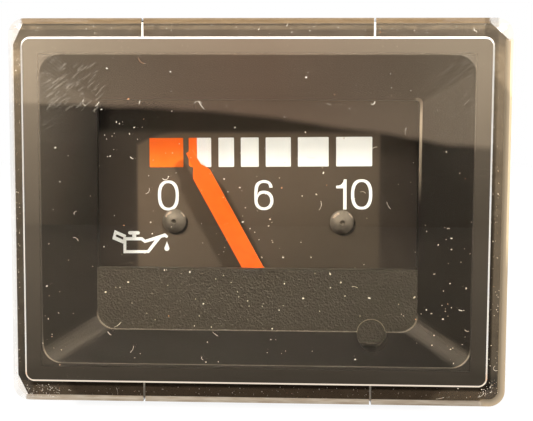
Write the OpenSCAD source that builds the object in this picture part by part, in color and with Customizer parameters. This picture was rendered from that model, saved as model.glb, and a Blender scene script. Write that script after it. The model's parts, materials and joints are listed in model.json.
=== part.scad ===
// Rectangular panel gauge for oil pressure: a clear clip-on cover, a black funnel mask,
// a riveted dial, a crossed-coil movement that turns an orange needle, and a black
// moulded case with blade terminals, two fixing studs and a push-in lamp holder.
// Millimetres. X is right and Z is up as the dial is read, and Y points to the rear.
// The origin is on the axis of the lens box, in the plane where the flange meets a panel.

/* [Lens cover] */
// Width of the box that stands through the panel
lens_w = 65; // [58:0.5:72]
// Height of the box that stands through the panel
lens_h = 48.3; // [44:0.1:52]
// How far the box stands in front of the flange
lens_proud = 8.5; // [8:0.1:10]
// Thickness of the clear front pane
pane_t = 1.6; // [1.4:0.1:2.2]
// Thickness of the clear side walls of the box
wall_t = 0.6; // [0.5:0.05:1]
// Radius of the upright corners of the box
lens_r = 1.3; // [1.2:0.1:2]
// Bevel round the front edge of the pane
edge_bevel = 0.3; // [0.2:0.05:0.6]
// Thickness of the clear flange
flange_t = 1; // [0.8:0.1:1.4]
// How far the flange reaches beyond the box at its sides
flange_side = 4.65; // [4.2:0.05:6]
// How far the flange reaches beyond the box at its top and bottom
flange_end = 4.6; // [4.2:0.05:6]
// Radius of the flange corners
flange_r = 2.4; // [1.5:0.1:3.5]
// How far the flange and the case sit below the lens axis
flange_drop = 0.65; // [0:0.05:0.8]
// Thickness of the rim that wraps the case
rim_t = 0.45; // [0.4:0.05:0.6]
// Depth of the rim behind the flange
rim_depth = 5; // [4.4:0.1:6]
// Sideways place of the slits that free the snap tongues
slit_x = 17.1; // [12:0.1:24]
// Width of a slit
slit_w = 0.3; // [0.3:0.05:0.8]
// Length of a snap ridge on a tongue
ridge_l = 20; // [10:1:22]
// How far a snap ridge stands in from the rim
ridge_h = 0.45; // [0.3:0.05:0.6]
// Width of a snap ridge along the depth
ridge_w = 0.8; // [0.5:0.1:1.2]

/* [Front mask] */
// Gap between the mask and the walls of the lens box
mask_gap = 0.15; // [0.1:0.05:0.3]
// Gap between the mask and the pane
pane_gap = 0.7; // [0.3:0.1:1]
// Wall of the moulded mask
mask_t = 1.2; // [1:0.1:1.5]
// Width of the mask's flat frame at its sides
frame_side = 1.3; // [1.1:0.05:1.8]
// Width of the mask's flat frame at its top and bottom
frame_end = 1.5; // [1.2:0.05:1.8]
// Corner radius of the funnel's mouth
mouth_r = 2.7; // [1.5:0.1:4]
// Depth of the funnel from its mouth to the window
funnel_depth = 4.7; // [3.5:0.1:5]
// Width of the window
window_w = 47; // [42:0.5:50]
// Height of the window, with the strip that hides the pivot
window_h = 33.8; // [30:0.1:36]
// How far the window sits below the lens axis
window_drop = 0.85; // [0:0.05:1.5]
// Corner radius at the top of the window
window_top_r = 0.6; // [0.4:0.1:3]
// Corner radius at the foot of the window
window_low_r = 2.6; // [1:0.1:4]
// Height of the strip that hides the pivot
strip_h = 9.1; // [7:0.1:10]
// Radius of the round flat left by the moulding pin
pin_flat_r = 2.15; // [1.5:0.05:2.6]
// Sideways place of that flat
pin_flat_x = 16.95; // [12:0.05:19]
// Height of the middle of that flat above the foot of the window
pin_flat_up = -0.35; // [-1:0.05:1]
// How far that flat lies behind the strip's face
pin_flat_in = 0.12; // [0.05:0.01:0.3]

/* [Dial] */
// Gap between the dial and the case lip at its sides
dial_side_gap = 2.65; // [1:0.05:4]
// Gap between the dial and the case lip at its top and bottom
dial_end_gap = 2.3; // [1:0.05:3]
// Thickness of the dial plate
dial_t = 0.8; // [0.5:0.1:1]
// Corner radius of the dial plate
dial_r = 1.5; // [0.5:0.1:3]
// How far the dial lies behind the window's edge
dial_set = 4; // [3.9:0.1:4.4]
// Sideways place of the dial rivets
rivet_x = 12.7; // [12:0.1:14]
// Height of the dial rivets above the pivot
rivet_above = 8; // [7:0.05:10]
// Radius of a rivet head
rivet_head_r = 1.85; // [1.5:0.05:2.2]
// Height of a rivet head
rivet_head_h = 0.9; // [0.6:0.05:1]
// Radius of a rivet shank
rivet_r = 1; // [0.7:0.05:1.2]
// Radius of the dimple in a rivet head
dimple_r = 0.4; // [0.2:0.05:0.6]

/* [Needle] */
// How far the pivot lies below the top edge of the strip
pivot_in = 1.4; // [1.3:0.05:1.8]
// Angle of the needle at rest, to the left of upright
needle_rest = 28.95; // [0:0.05:38]
// Length of the needle from the pivot to its tip
needle_len = 21.2; // [18:0.1:24]
// Width of the needle's body
needle_w = 2.86; // [2:0.02:3.4]
// Thickness of the needle
needle_t = 0.4; // [0.3:0.05:0.5]
// Distance from the pivot to where the body narrows
shoulder_at = 17.35; // [14:0.05:18]
// Length over which the body narrows
shoulder_l = 1.4; // [0.8:0.1:2]
// Width of the narrow tongue at the tip
tongue_w = 1.04; // [0.6:0.02:1.6]
// Length of the tail behind the pivot
tail_l = 6; // [5.6:0.1:6.4]
// Gap between the back of the strip and the hub
hub_gap = 0.6; // [0.4:0.1:0.8]
// Radius of the hub's cap
hub_r = 1.2; // [1.1:0.05:1.3]
// Thickness of the hub's cap
hub_cap_t = 0.6; // [0.4:0.1:0.7]
// Radius of the hub's boss, behind its cap
boss_r = 0.95; // [0.9:0.05:1]
// Length of the hub's boss
boss_l = 1.1; // [0.8:0.1:1.1]
// Radius of the balance weight on the tail
weight_r = 2.4; // [1.6:0.1:2.6]
// Thickness of the balance weight
weight_t = 0.9; // [0.6:0.05:1]
// Distance from the pivot to the balance weight
weight_at = 4; // [3.8:0.05:4.4]
// Radius of the spindle
spindle_r = 0.5; // [0.4:0.05:0.6]
// Radial running clearance of the spindle in its bushes
spindle_play = 0.03; // [0.02:0.01:0.05]
// Radial gap of a part pressed or riveted in its hole
press_gap = 0.02; // [0.01:0.01:0.05]

/* [Movement] */
// Width of the movement plate
plate_w = 44; // [42:0.5:46]
// Height of the movement plate
plate_h = 30; // [29:0.5:31]
// Height of the middle of the movement plate above the pivot
plate_up = 3.85; // [3.6:0.05:4.2]
// Thickness of the movement plate
plate_t = 1.2; // [1:0.1:1.6]
// Height of the pads that carry the dial
pad_h = 0.6; // [0.5:0.1:0.8]
// Radius of the pads that carry the dial
pad_r = 2.6; // [2:0.1:3]
// Radius of the hole for the spindle in the dial and in the plate
spindle_hole_r = 1.5; // [1.2:0.1:2]
// Side of the square bobbin core
core_w = 14; // [13:0.5:14.5]
// Length of the bobbin core
core_l = 9; // [8:0.5:10]
// Thickness of one coil winding
coil_t = 1.2; // [0.8:0.1:1.3]
// Width of one half of a coil
coil_w = 3.2; // [2.5:0.1:3.3]
// Gap between the two halves of a coil
coil_split = 2.4; // [2.2:0.1:2.6]
// Gap between the plate and the outer coil
coil_gap = 0.8; // [0.4:0.1:1.2]
// Radius of the bobbin's corner posts
post_r = 1.1; // [0.8:0.1:1.2]
// Distance of a corner post from both centre lines of the bobbin
post_at = 5.8; // [5.7:0.05:5.9]
// Radius of the magnet rotor
rotor_r = 5; // [4:0.1:5.2]
// Thickness of the magnet rotor
rotor_t = 3; // [2:0.1:3.6]
// Gap round the magnet rotor
rotor_gap = 0.5; // [0.3:0.05:0.6]
// Outer radius of the spindle bushes
bush_r = 1.5; // [1.2:0.05:1.8]
// Length of a spindle bush
bush_l = 1.9; // [1.5:0.1:1.9]
// Gap between the corner posts and the wall of the shield can
can_gap = 1.5; // [0.6:0.1:1.6]
// Thickness of the shield can
can_t = 0.6; // [0.5:0.1:0.8]
// Distance from the pivot to a can screw
can_screw_x = 14.4; // [14:0.1:15]
// Radius of the can screws
can_screw_r = 1; // [0.8:0.05:1.1]
// Radius of the small return magnet
return_r = 0.9; // [0.6:0.05:1]
// Length of the small return magnet
return_l = 4.6; // [3:0.1:6]

/* [Fixing studs] */
// Radius of a stud's free end, which takes the panel bracket
stud_r = 2; // [1.5:0.05:2.2]
// Radius of a stud's thread in the rear wall, a size larger, for its nut
nut_thread_r = 2.5; // [2.3:0.05:2.9]
// Radius of the spacer part of a stud
spacer_r = 3.5; // [3.3:0.1:3.8]
// Radius of the end riveted in the movement plate
stud_rivet_r = 1.5; // [1.2:0.1:1.8]
// Sideways place of the studs
stud_x = 18; // [17.5:0.1:18.5]
// Height of the studs above the pivot
stud_above = 14.05; // [13.5:0.05:14.5]
// Free length of thread behind the nut
stud_free = 7; // [4:0.5:12]
// Chamfer on the free end of a stud
stud_end = 0.4; // [0.2:0.1:0.6]
// Width of a nut across its flats
nut_flats = 8; // [7:0.5:9]
// Thickness of a nut
nut_t = 3.2; // [2.4:0.1:4]
// Chamfer on the corners of a nut
nut_edge = 0.5; // [0.3:0.05:0.6]
// Radius of a washer
washer_r = 5; // [4.5:0.1:5.5]
// Thickness of a washer
washer_t = 0.8; // [0.5:0.1:1.2]

/* [Case] */
// Thickness of the dust seal between the flange and the case lip
seal_t = 0.3; // [0.2:0.05:0.6]
// Gap between the case lip and the cover's rim at the sides
lip_gap = 0.05; // [0.05:0.05:0.2]
// Gap between the case lip and the cover's tongues, at the top and bottom
tongue_gap = 0.15; // [0.1:0.05:0.3]
// Thickness of the case lip
lip_t = 2; // [1.6:0.1:2.2]
// Width of the cuts on the two left corners of the case lip
cut_left_w = 1.5; // [1:0.1:3]
// Height of the cuts on the two left corners of the case lip
cut_left_h = 3.1; // [1:0.1:4]
// Width of the cut on the upper right corner of the case lip
cut_right_w = 2.7; // [1:0.1:4]
// Height of the cut on the upper right corner of the case lip
cut_right_h = 2.4; // [1:0.1:4]
// Width of the seat on the lip that the mask rests on
seat_w = 1.1; // [0.8:0.1:1.2]
// How far the case body lies inside its lip at the sides
body_side = 3.65; // [3.2:0.05:4.2]
// How far the case body lies inside its lip at the top and bottom
body_end = 2.7; // [2.4:0.05:3.2]
// Depth of the case behind the front of its lip
case_depth = 32.7; // [30:0.1:38]
// Thickness of the case walls
case_t = 1.8; // [1.5:0.1:2.2]
// Thickness of the rear wall
rear_t = 2; // [1.6:0.1:2.6]
// Corner radius of the case body
case_r = 3; // [2.5:0.1:4]
// Depth of the narrower rear step of the case
step_l = 7; // [4:0.5:12]
// How far the rear step lies inside the case body
step_in = 1.1; // [0.6:0.1:1.2]
// Thickness of the gussets behind the lip
gusset_t = 1.2; // [0.8:0.1:1.6]
// Length of the gussets behind the lip
gusset_l = 6; // [4:0.5:10]
// Height of the pads round the studs and the lamp hole
rear_pad_h = 0.8; // [0.5:0.1:1.2]
// Radial clearance of a stud in the rear wall
stud_play = 0.15; // [0.1:0.05:0.3]

/* [Terminals] */
// Width of a terminal blade
blade_w = 6.3; // [4.8:0.1:6.3]
// Thickness of a terminal blade
blade_t = 0.8; // [0.5:0.1:1]
// Length of a blade behind the rear wall
blade_l = 9; // [7:0.5:11]
// Sideways place of the terminals
blade_x = 10; // [9.5:0.1:10.5]
// How far the blades lie below the pivot
blade_below = 2.95; // [2:0.05:4]
// How far a terminal's foot reaches above the resistor's lead
foot_over = 0.4; // [0.2:0.1:1]
// Clearance of a blade in its slot
blade_play = 0.1; // [0.05:0.05:0.2]
// Wall of the shroud round a blade
shroud_t = 1; // [0.8:0.1:1.2]
// Gap between a blade and its shroud
shroud_gap = 1.1; // [1:0.1:1.4]
// Height of the shroud
shroud_h = 5; // [3:0.5:7]
// Radius of a terminal rivet
pin_r = 1; // [0.8:0.1:1.2]
// Radius of a terminal rivet's heads
pin_head_r = 1.8; // [1.5:0.1:1.9]
// Thickness of a terminal rivet's heads
pin_head_t = 0.6; // [0.4:0.1:0.8]
// Gap between a rivet's head and the shroud or the resistor's lead
head_gap = 0.2; // [0.1:0.05:0.5]
// Radius of the series resistor
resistor_r = 2.2; // [1.6:0.1:2.4]
// Length of the series resistor
resistor_l = 12; // [9:0.5:13]
// Gap between the resistor and the terminal feet
resistor_gap = 1.5; // [1.2:0.1:3]
// Radius of the resistor's leads
lead_r = 0.35; // [0.25:0.05:0.4]

/* [Lamp] */
// How far the lamp lies below the top of the case body
lamp_below = 11.3; // [10.8:0.05:13]
// Radius of the lamp holder's barrel
barrel_r = 5.15; // [4.5:0.05:5.5]
// Radial running clearance of the barrel in the rear wall
barrel_play = 0.05; // [0.03:0.01:0.08]
// Length of the barrel in front of its collar
barrel_l = 12; // [9:0.5:14]
// Radius of the lamp holder's collar
collar_r = 7; // [6.5:0.1:8]
// Thickness of the lamp holder's collar
collar_t = 2; // [1.5:0.1:3]
// Width of the lamp holder's finger grip
grip_w = 10; // [8:0.5:11]
// Thickness of the finger grip
grip_t = 6.4; // [5.6:0.1:7]
// Length of the finger grip
grip_l = 5; // [4:0.5:8]
// Radius of the grooves in the finger grip
groove_r = 0.35; // [0.2:0.05:0.5]
// Radius of the lamp's glass
bulb_r = 2.5; // [2:0.1:3]
// Length of the lamp's glass in front of the holder
bulb_l = 10; // [7:0.5:11]
// Depth of the lamp's foot in the holder
bulb_in = 5; // [4:0.5:6]
// Width of a lamp contact
contact_w = 3.4; // [2.8:0.1:4]
// Thickness of a lamp contact
contact_t = 0.5; // [0.4:0.05:0.6]
// Length of a lamp contact behind the grip
contact_l = 6; // [4:0.5:8]

/* [Hidden] */

$fn = 64;
eps = 0.02;

// Depths along Y, from the front pane to the rear
lens_front = -lens_proud;
mask_front = lens_front + pane_t + pane_gap;
window_front = mask_front + funnel_depth;
window_back = window_front + mask_t;
lip_front = flange_t + seal_t;
lip_back = lip_front + lip_t;
rim_back = flange_t + rim_depth;
dial_front = window_front + dial_set;
dial_back = dial_front + dial_t;
plate_front = dial_back + pad_h;
plate_back = plate_front + plate_t;
hub_front = window_back + hub_gap;
needle_front = hub_front + hub_cap_t;
needle_back = needle_front + needle_t;
outer_coil_front = plate_back + coil_gap;
inner_coil_front = outer_coil_front + coil_t;
core_front = inner_coil_front + coil_t;
core_back = core_front + core_l;
core_mid = core_front + core_l / 2;
can_back = core_back + (core_front - plate_back) + can_t;
case_back = lip_front + case_depth;
rear_inner = case_back - rear_t;
pad_back = case_back + rear_pad_h;
step_front = case_back - step_l;
nut_back = pad_back + washer_t + nut_t;

// Outlines across the depth
flange_w = lens_w + 2 * flange_side;
flange_h = lens_h + 2 * flange_end;
lens_in_w = lens_w - 2 * wall_t;
lens_in_h = lens_h - 2 * wall_t;
lens_in_r = max(lens_r - wall_t, 0.3);
mask_w = lens_in_w - 2 * mask_gap;
mask_h = lens_in_h - 2 * mask_gap;
mouth_w = mask_w - 2 * frame_side;
mouth_h = mask_h - 2 * frame_end;
window_foot = -window_drop - window_h / 2;
strip_top = window_foot + strip_h;
lip_w = flange_w - 2 * (rim_t + lip_gap);
lip_h = flange_h - 2 * (rim_t + tongue_gap);
lip_r = flange_r - rim_t;
case_w = lip_w - 2 * body_side;
case_h = lip_h - 2 * body_end;
dial_w = mask_w - 2 * seat_w - 2 * dial_side_gap;
dial_h = mask_h - 2 * seat_w - 2 * dial_end_gap;

// Heights on the lens axis
pivot_z = strip_top - pivot_in;
rivet_z = pivot_z + rivet_above;
stud_z = pivot_z + stud_above;
blade_z = pivot_z - blade_below;
lamp_z = case_h / 2 - flange_drop - lamp_below;
can_r = post_at * sqrt(2) + post_r + can_gap;

// Heights at the terminals: the rivets clear the shrouds, and the leads the rivets
rivet_up = blade_z + blade_t / 2 + shroud_gap + shroud_t + head_gap + pin_head_r;
lead_up = rivet_up + pin_head_r + head_gap + lead_r;
foot_l = lead_up + lead_r + foot_over - blade_z + blade_t / 2;
lead_front = rear_inner - blade_t - resistor_gap - resistor_r;

// Sideways place of the lamp contacts
contact_x = bulb_r + press_gap + contact_t;

// Colours, as near as flat colours come
black = [0.13, 0.12, 0.11];
soft_black = [0.2, 0.19, 0.17];
clear = [0.85, 0.87, 0.86, 0.35];
orange = [1, 0.36, 0.1];
steel = [0.72, 0.72, 0.7];
zinc = [0.8, 0.8, 0.76];
copper = [0.72, 0.38, 0.2];
nylon = [0.9, 0.88, 0.8];
brass = [0.83, 0.68, 0.36];
ferrite = [0.25, 0.25, 0.26];

// A front-view outline, drawn with X right and Y up, given a depth from front to back
module layer(front, back) {
    translate([0, back, 0]) rotate([90, 0, 0]) linear_extrude(back - front) children();
}

// The same, for what lies below the lens axis with the flange and the case
module low_layer(front, back) {
    translate([0, 0, -flange_drop]) layer(front, back) children();
}

// A round rod along the depth
module rod(r, front, back) {
    translate([0, back, 0]) rotate([90, 0, 0]) cylinder(r = r, h = back - front);
}

// A round rod whose ends are chamfered by c in front and d behind
module turned(r, front, back, c, d) {
    translate([0, back, 0]) rotate([90, 0, 0]) {
        translate([0, 0, d]) cylinder(r = r, h = back - front - c - d);
        if (d > 0) cylinder(r1 = r - d, r2 = r, h = d);
        if (c > 0) translate([0, 0, back - front - c]) cylinder(r1 = r, r2 = r - c, h = c);
    }
}

// A rectangle with equal round corners
module rounded(w, h, r) {
    square([w, h - 2 * r], center = true);
    square([w - 2 * r, h], center = true);
    for (x = [-1, 1], y = [-1, 1]) translate([x * (w / 2 - r), y * (h / 2 - r)]) circle(r);
}

// The window outline, with its own radii at the top and at the foot, grown by g
module window_outline(g = 0) {
    w = window_w + 2 * g;
    top = window_h / 2 + g;
    rt = window_top_r + g;
    rl = window_low_r + g;
    translate([0, -window_drop]) {
        translate([-w / 2, -top + rl]) square([w, 2 * top - rl - rt]);
        translate([-w / 2 + rl, -top]) square([w - 2 * rl, top]);
        translate([-w / 2 + rt, 0]) square([w - 2 * rt, top]);
        for (x = [-1, 1]) {
            translate([x * (w / 2 - rt), top - rt]) circle(rt, $fn = 32);
            translate([x * (w / 2 - rl), -top + rl]) circle(rl, $fn = 32);
        }
    }
}

// The outline of the case lip and of the seal, with three cut corners and one round one
module corner_cut(side, up, w, h) {
    translate([side * lip_w / 2, up * lip_h / 2]) scale([side, up])
        polygon([[-1.5 * w, 0.5 * h], [0.5 * w, -1.5 * h], [w, h]]);
}
module lip_outline() {
    difference() {
        rounded(lip_w, lip_h, lip_r);
        corner_cut(-1, 1, cut_left_w, cut_left_h);
        corner_cut(-1, -1, cut_left_w, cut_left_h);
        corner_cut(1, 1, cut_right_w, cut_right_h);
    }
}

// Copies on the left and on the right
module both_sides(x) {
    for (side = [-1, 1]) translate([side * x, 0, 0]) children();
}

// Turns and moves what is drawn round the pivot with the needle straight up
module at_pivot() {
    translate([0, 0, pivot_z]) children();
}
module at_needle() {
    at_pivot() rotate([0, -needle_rest, 0]) children();
}

module lens_cover() {
    color(clear) difference() {
        union() {
            hull() {
                layer(lens_front, lens_front + eps)
                    rounded(lens_w - 2 * edge_bevel, lens_h - 2 * edge_bevel,
                        lens_r - edge_bevel, $fn = 32);
                layer(lens_front + edge_bevel, lens_front + edge_bevel + eps)
                    rounded(lens_w, lens_h, lens_r, $fn = 32);
            }
            layer(lens_front + edge_bevel, flange_t) rounded(lens_w, lens_h, lens_r);
            low_layer(0, rim_back) rounded(flange_w, flange_h, flange_r);
        }
        layer(lens_front + pane_t, flange_t + eps) rounded(lens_in_w, lens_in_h, lens_in_r);
        low_layer(flange_t, rim_back + eps)
            rounded(flange_w - 2 * rim_t, flange_h - 2 * rim_t, lip_r);
        for (x = [-1, 1], z = [-1, 1])
            translate([x * slit_x - slit_w / 2, -eps,
                z > 0 ? lens_h / 2 + eps : -lens_h / 2 - 2 * flange_end])
                cube([slit_w, rim_back + 2 * eps, 2 * flange_end]);
    }
    // Ridges that click behind the case lip, one on each tongue
    color(clear) for (z = [-1, 1])
        low_layer(lip_back + lip_gap, lip_back + lip_gap + ridge_w)
            translate([0, z * (flange_h / 2 - rim_t - ridge_h / 2)])
                square([ridge_l, ridge_h + 2 * eps], center = true);
}

module dust_seal() {
    color(black) difference() {
        low_layer(flange_t, lip_front) lip_outline();
        layer(flange_t - eps, lip_front + eps) rounded(lens_w, lens_h, lens_r);
    }
}

// The sloping inside of the mask, or its outside when grown by g
module funnel(g = 0) {
    hull() {
        layer(mask_front - (g > 0 ? 0 : eps), mask_front + eps)
            rounded(mouth_w + 2 * g, mouth_h + 2 * g, mouth_r + g, $fn = 32);
        layer(window_front + (g > 0 ? g : 0) - eps, window_front + g) window_outline(g);
    }
}

module front_mask() {
    color(soft_black) difference() {
        union() {
            layer(mask_front, mask_front + mask_t) rounded(mask_w, mask_h, lens_in_r);
            layer(mask_front, lip_front) difference() {
                rounded(mask_w, mask_h, lens_in_r);
                square([mask_w - 2 * mask_t, mask_h - 2 * mask_t], center = true);
            }
            intersection() {
                funnel(mask_t);
                layer(mask_front, window_back) square([mask_w, mask_h], center = true);
            }
        }
        funnel();
        // The window itself, above the strip
        layer(window_front - eps, window_back + eps) intersection() {
            window_outline();
            translate([-window_w, strip_top]) square([2 * window_w, window_h]);
        }
        // The round flat left by the moulding pin, across the strip and the slope
        translate([pin_flat_x, 0, window_foot + pin_flat_up])
            rod(pin_flat_r, mask_front + mask_t / 2, window_front + pin_flat_in);
    }
}

module dial_plate() {
    color(black) difference() {
        layer(dial_front, dial_back) rounded(dial_w, dial_h, dial_r);
        at_pivot() rod(spindle_hole_r, dial_front - eps, dial_back + eps);
        both_sides(rivet_x) translate([0, 0, rivet_z])
            rod(rivet_r + press_gap, dial_front - eps, dial_back + eps);
    }
}

// One rivet: a domed head with a dimple, a shank and a closed tail behind the plate
module dial_rivet() {
    dome_r = (pow(rivet_head_r, 2) + pow(rivet_head_h, 2)) / (2 * rivet_head_h);
    difference() {
        union() {
            intersection() {
                translate([0, dial_front - rivet_head_h + dome_r, 0]) sphere(dome_r);
                rod(rivet_head_r, dial_front - rivet_head_h, dial_front);
            }
            rod(rivet_r, dial_front - eps, plate_back + eps);
            rod(1.5 * rivet_r, plate_back, plate_back + pad_h);
        }
        translate([0, dial_front - rivet_head_h, 0]) sphere(dimple_r, $fn = 32);
    }
}

module dial_rivets() {
    color(soft_black) both_sides(rivet_x) translate([0, 0, rivet_z]) dial_rivet();
}

module movement_plate() {
    color(zinc) difference() {
        union() {
            at_pivot() translate([0, 0, plate_up])
                layer(plate_front, plate_back) rounded(plate_w, plate_h, dial_r);
            both_sides(rivet_x) translate([0, 0, rivet_z])
                rod(pad_r, dial_back, plate_front + eps);
        }
        at_pivot() rod(spindle_hole_r, plate_front - eps, plate_back + eps);
        both_sides(rivet_x) translate([0, 0, rivet_z])
            rod(rivet_r + press_gap, dial_back - eps, plate_back + eps);
        both_sides(stud_x) translate([0, 0, stud_z])
            rod(stud_rivet_r + press_gap, plate_front - eps, plate_back + eps);
        both_sides(can_screw_x) at_pivot()
            rod(can_screw_r + press_gap, plate_front - eps, plate_back + eps);
    }
}

// The bobbin core between two depths, and its corner posts
module core_block(front, back) {
    layer(front, back) rounded(core_w, core_w, post_r);
}
module corner_posts(front, back) {
    for (x = [-1, 1], z = [-1, 1])
        translate([x * post_at, 0, z * post_at]) rod(post_r, front, back);
}

module bobbin_front() {
    color(nylon) at_pivot() difference() {
        union() {
            core_block(core_front, core_mid);
            corner_posts(plate_back, core_front + eps);
        }
        rod(rotor_r + rotor_gap, core_mid - rotor_t / 2 - rotor_gap, core_mid + eps);
        rod(bush_r + press_gap, core_front - eps, core_mid);
    }
}

module bobbin_rear() {
    color(nylon) at_pivot() difference() {
        union() {
            core_block(core_mid, core_back);
            corner_posts(core_back - eps, can_back - can_t);
        }
        rod(rotor_r + rotor_gap, core_mid - eps, core_mid + rotor_t / 2 + rotor_gap);
        rod(bush_r + press_gap, core_mid, core_back + eps);
    }
}

// One half winding: a loop round the core, drawn across X from its depth and height
module winding(front, back, half) {
    rotate([90, 0, 90]) linear_extrude(coil_w) difference() {
        translate([(front + back) / 2, 0])
            rounded(back - front + 2 * coil_t, 2 * (half + coil_t), coil_t);
        translate([front, -half]) square([back - front, 2 * half]);
    }
}

module inner_coil() {
    color(copper) at_pivot() for (side = [0, 180])
        rotate([0, side, 0]) translate([coil_split / 2, 0, 0])
            winding(core_front, core_back, core_w / 2);
}

module outer_coil() {
    color(copper) at_pivot() for (side = [90, 270])
        rotate([0, side, 0]) translate([coil_split / 2, 0, 0])
            winding(inner_coil_front, core_back + coil_t, core_w / 2);
}

module front_bush() {
    color(brass) at_pivot() difference() {
        rod(bush_r, core_front, core_front + bush_l);
        rod(spindle_r + spindle_play, core_front - eps, core_front + bush_l + eps);
    }
}

// The rear bush is closed at its back and carries the end of the spindle
module rear_bush() {
    color(brass) at_pivot() difference() {
        rod(bush_r, core_back - bush_l, core_back);
        rod(spindle_r + spindle_play, core_back - bush_l - eps, core_back - 0.3);
    }
}

module return_magnet() {
    color(ferrite) at_pivot() translate([0, 0, core_w / 2 + return_r])
        rod(return_r, core_mid - return_l / 2, core_mid + return_l / 2);
}

module shield_can() {
    color(steel) at_pivot() difference() {
        union() {
            turned(can_r + can_t, plate_back, can_back, 0, can_t);
            layer(plate_back, plate_back + can_t)
                rounded(2 * (can_screw_x + 2.4 * can_screw_r), 5, 2);
        }
        rod(can_r, plate_back - eps, can_back - can_t);
        both_sides(can_screw_x)
            rod(can_screw_r + press_gap, plate_back - eps, plate_back + can_t + eps);
    }
}

module can_screws() {
    color(zinc) both_sides(can_screw_x) at_pivot() difference() {
        union() {
            rod(can_screw_r, plate_front, plate_back + can_t + eps);
            rod(1.9 * can_screw_r, plate_back + can_t, plate_back + can_t + 1.2);
        }
        translate([-2.5 * can_screw_r, plate_back + can_t + 0.7, -0.25])
            cube([5 * can_screw_r, 1, 0.5]);
    }
}

module fixing_studs() {
    color(zinc) both_sides(stud_x) translate([0, 0, stud_z]) {
        rod(stud_rivet_r + 0.8, plate_front - pad_h + 0.1, plate_front);
        rod(stud_rivet_r, plate_front - eps, plate_back + eps);
        rod(spacer_r, plate_back, rear_inner);
        rod(nut_thread_r, rear_inner - eps, nut_back);
        turned(stud_r, nut_back - eps, nut_back + stud_free, 0, stud_end);
    }
}

module stud_washers() {
    color(zinc) both_sides(stud_x) translate([0, 0, stud_z]) difference() {
        rod(washer_r, pad_back, pad_back + washer_t);
        rod(nut_thread_r + stud_play, pad_back - eps, pad_back + washer_t + eps);
    }
}

module stud_nuts() {
    nut_front = pad_back + washer_t;
    color(zinc) both_sides(stud_x) translate([0, 0, stud_z]) difference() {
        intersection() {
            layer(nut_front, nut_back) circle(r = nut_flats / sqrt(3), $fn = 6);
            turned(nut_flats / sqrt(3), nut_front, nut_back, nut_edge, nut_edge);
        }
        rod(nut_thread_r + press_gap, nut_front - eps, nut_back + eps);
    }
}

// A gusset between the lip and the body, standing out along +X from the body's side
module gusset(reach) {
    translate([0, 0, -gusset_t / 2]) linear_extrude(gusset_t)
        polygon([[-eps, lip_back - eps], [reach, lip_back - eps],
            [reach, lip_back + 0.8], [-eps, lip_back + gusset_l]]);
}

// The U-shaped shroud that guards a blade outside the rear wall
module shroud() {
    in_w = blade_w + 2 * shroud_gap;
    in_h = blade_t + 2 * shroud_gap;
    layer(case_back - eps, case_back + shroud_h) difference() {
        rounded(in_w + 2 * shroud_t, in_h + 2 * shroud_t, shroud_t);
        translate([-in_w / 2, -in_h / 2]) square([in_w, in_h]);
        translate([-in_w / 4, -in_h]) square([in_w / 2, in_h]);
    }
}

module rear_case() {
    color(black) difference() {
        union() {
            low_layer(lip_front, lip_back) lip_outline();
            low_layer(lip_front, step_front) rounded(case_w, case_h, case_r);
            low_layer(step_front - eps, case_back)
                rounded(case_w - 2 * step_in, case_h - 2 * step_in, case_r - step_in);
            // Gussets: three along each long side and two at each end
            translate([0, 0, -flange_drop]) {
                for (side = [0, 180], z = [-1, 1]) rotate([0, side, 0])
                    translate([case_w / 2, 0, z * case_h / 4]) gusset(body_side - 1);
                for (side = [90, 270], z = [-1, 0, 1]) rotate([0, side, 0])
                    translate([case_h / 2, 0, z * case_w / 3]) gusset(body_end - 1);
            }
            both_sides(stud_x) translate([0, 0, stud_z])
                rod(washer_r + 0.7, case_back - eps, pad_back);
            translate([0, 0, lamp_z]) rod(collar_r + 0.8, case_back - eps, pad_back);
            both_sides(blade_x) translate([0, 0, blade_z]) shroud();
        }
        layer(lip_front - eps, lip_back + eps)
            rounded(mask_w - 2 * seat_w, mask_h - 2 * seat_w, 1);
        low_layer(lip_back, step_front - rear_t)
            rounded(case_w - 2 * case_t, case_h - 2 * case_t, case_r - case_t);
        low_layer(step_front - rear_t - eps, rear_inner)
            rounded(case_w - 2 * step_in - 2 * case_t, case_h - 2 * step_in - 2 * case_t,
                case_r - case_t);
        both_sides(stud_x) translate([0, 0, stud_z])
            rod(nut_thread_r + stud_play, rear_inner - eps, pad_back + eps);
        translate([0, 0, lamp_z]) rod(barrel_r + barrel_play, rear_inner - eps, pad_back + eps);
        both_sides(blade_x) {
            translate([0, 0, blade_z]) layer(rear_inner - eps, case_back + eps)
                square([blade_w + 2 * blade_play, blade_t + 2 * blade_play], center = true);
            translate([0, 0, rivet_up]) rod(pin_r + press_gap, rear_inner - eps, case_back + eps);
        }
    }
}

// An L-shaped terminal: a foot flat on the inside of the rear wall and a blade through it
module terminal() {
    difference() {
        union() {
            translate([0, 0, blade_z])
                layer(rear_inner - blade_t, case_back + blade_l - 0.8)
                    square([blade_w, blade_t], center = true);
            translate([0, 0, blade_z]) hull() {
                layer(case_back + blade_l - 1, case_back + blade_l - 0.8)
                    square([blade_w, blade_t], center = true);
                layer(case_back + blade_l - 0.1, case_back + blade_l)
                    square([blade_w - 1.6, blade_t / 2], center = true);
            }
            layer(rear_inner - blade_t, rear_inner)
                translate([-blade_w / 2, blade_z - blade_t / 2]) square([blade_w, foot_l]);
        }
        translate([0, 0, rivet_up])
            rod(pin_r + press_gap, rear_inner - blade_t - eps, rear_inner + eps);
        translate([0, case_back + blade_l - 3.6, blade_z - blade_t])
            cylinder(r = 0.75, h = 2 * blade_t);
    }
}
module supply_terminal() {
    color(brass) translate([-blade_x, 0, 0]) terminal();
}
module sender_terminal() {
    color(brass) translate([blade_x, 0, 0]) terminal();
}

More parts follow.
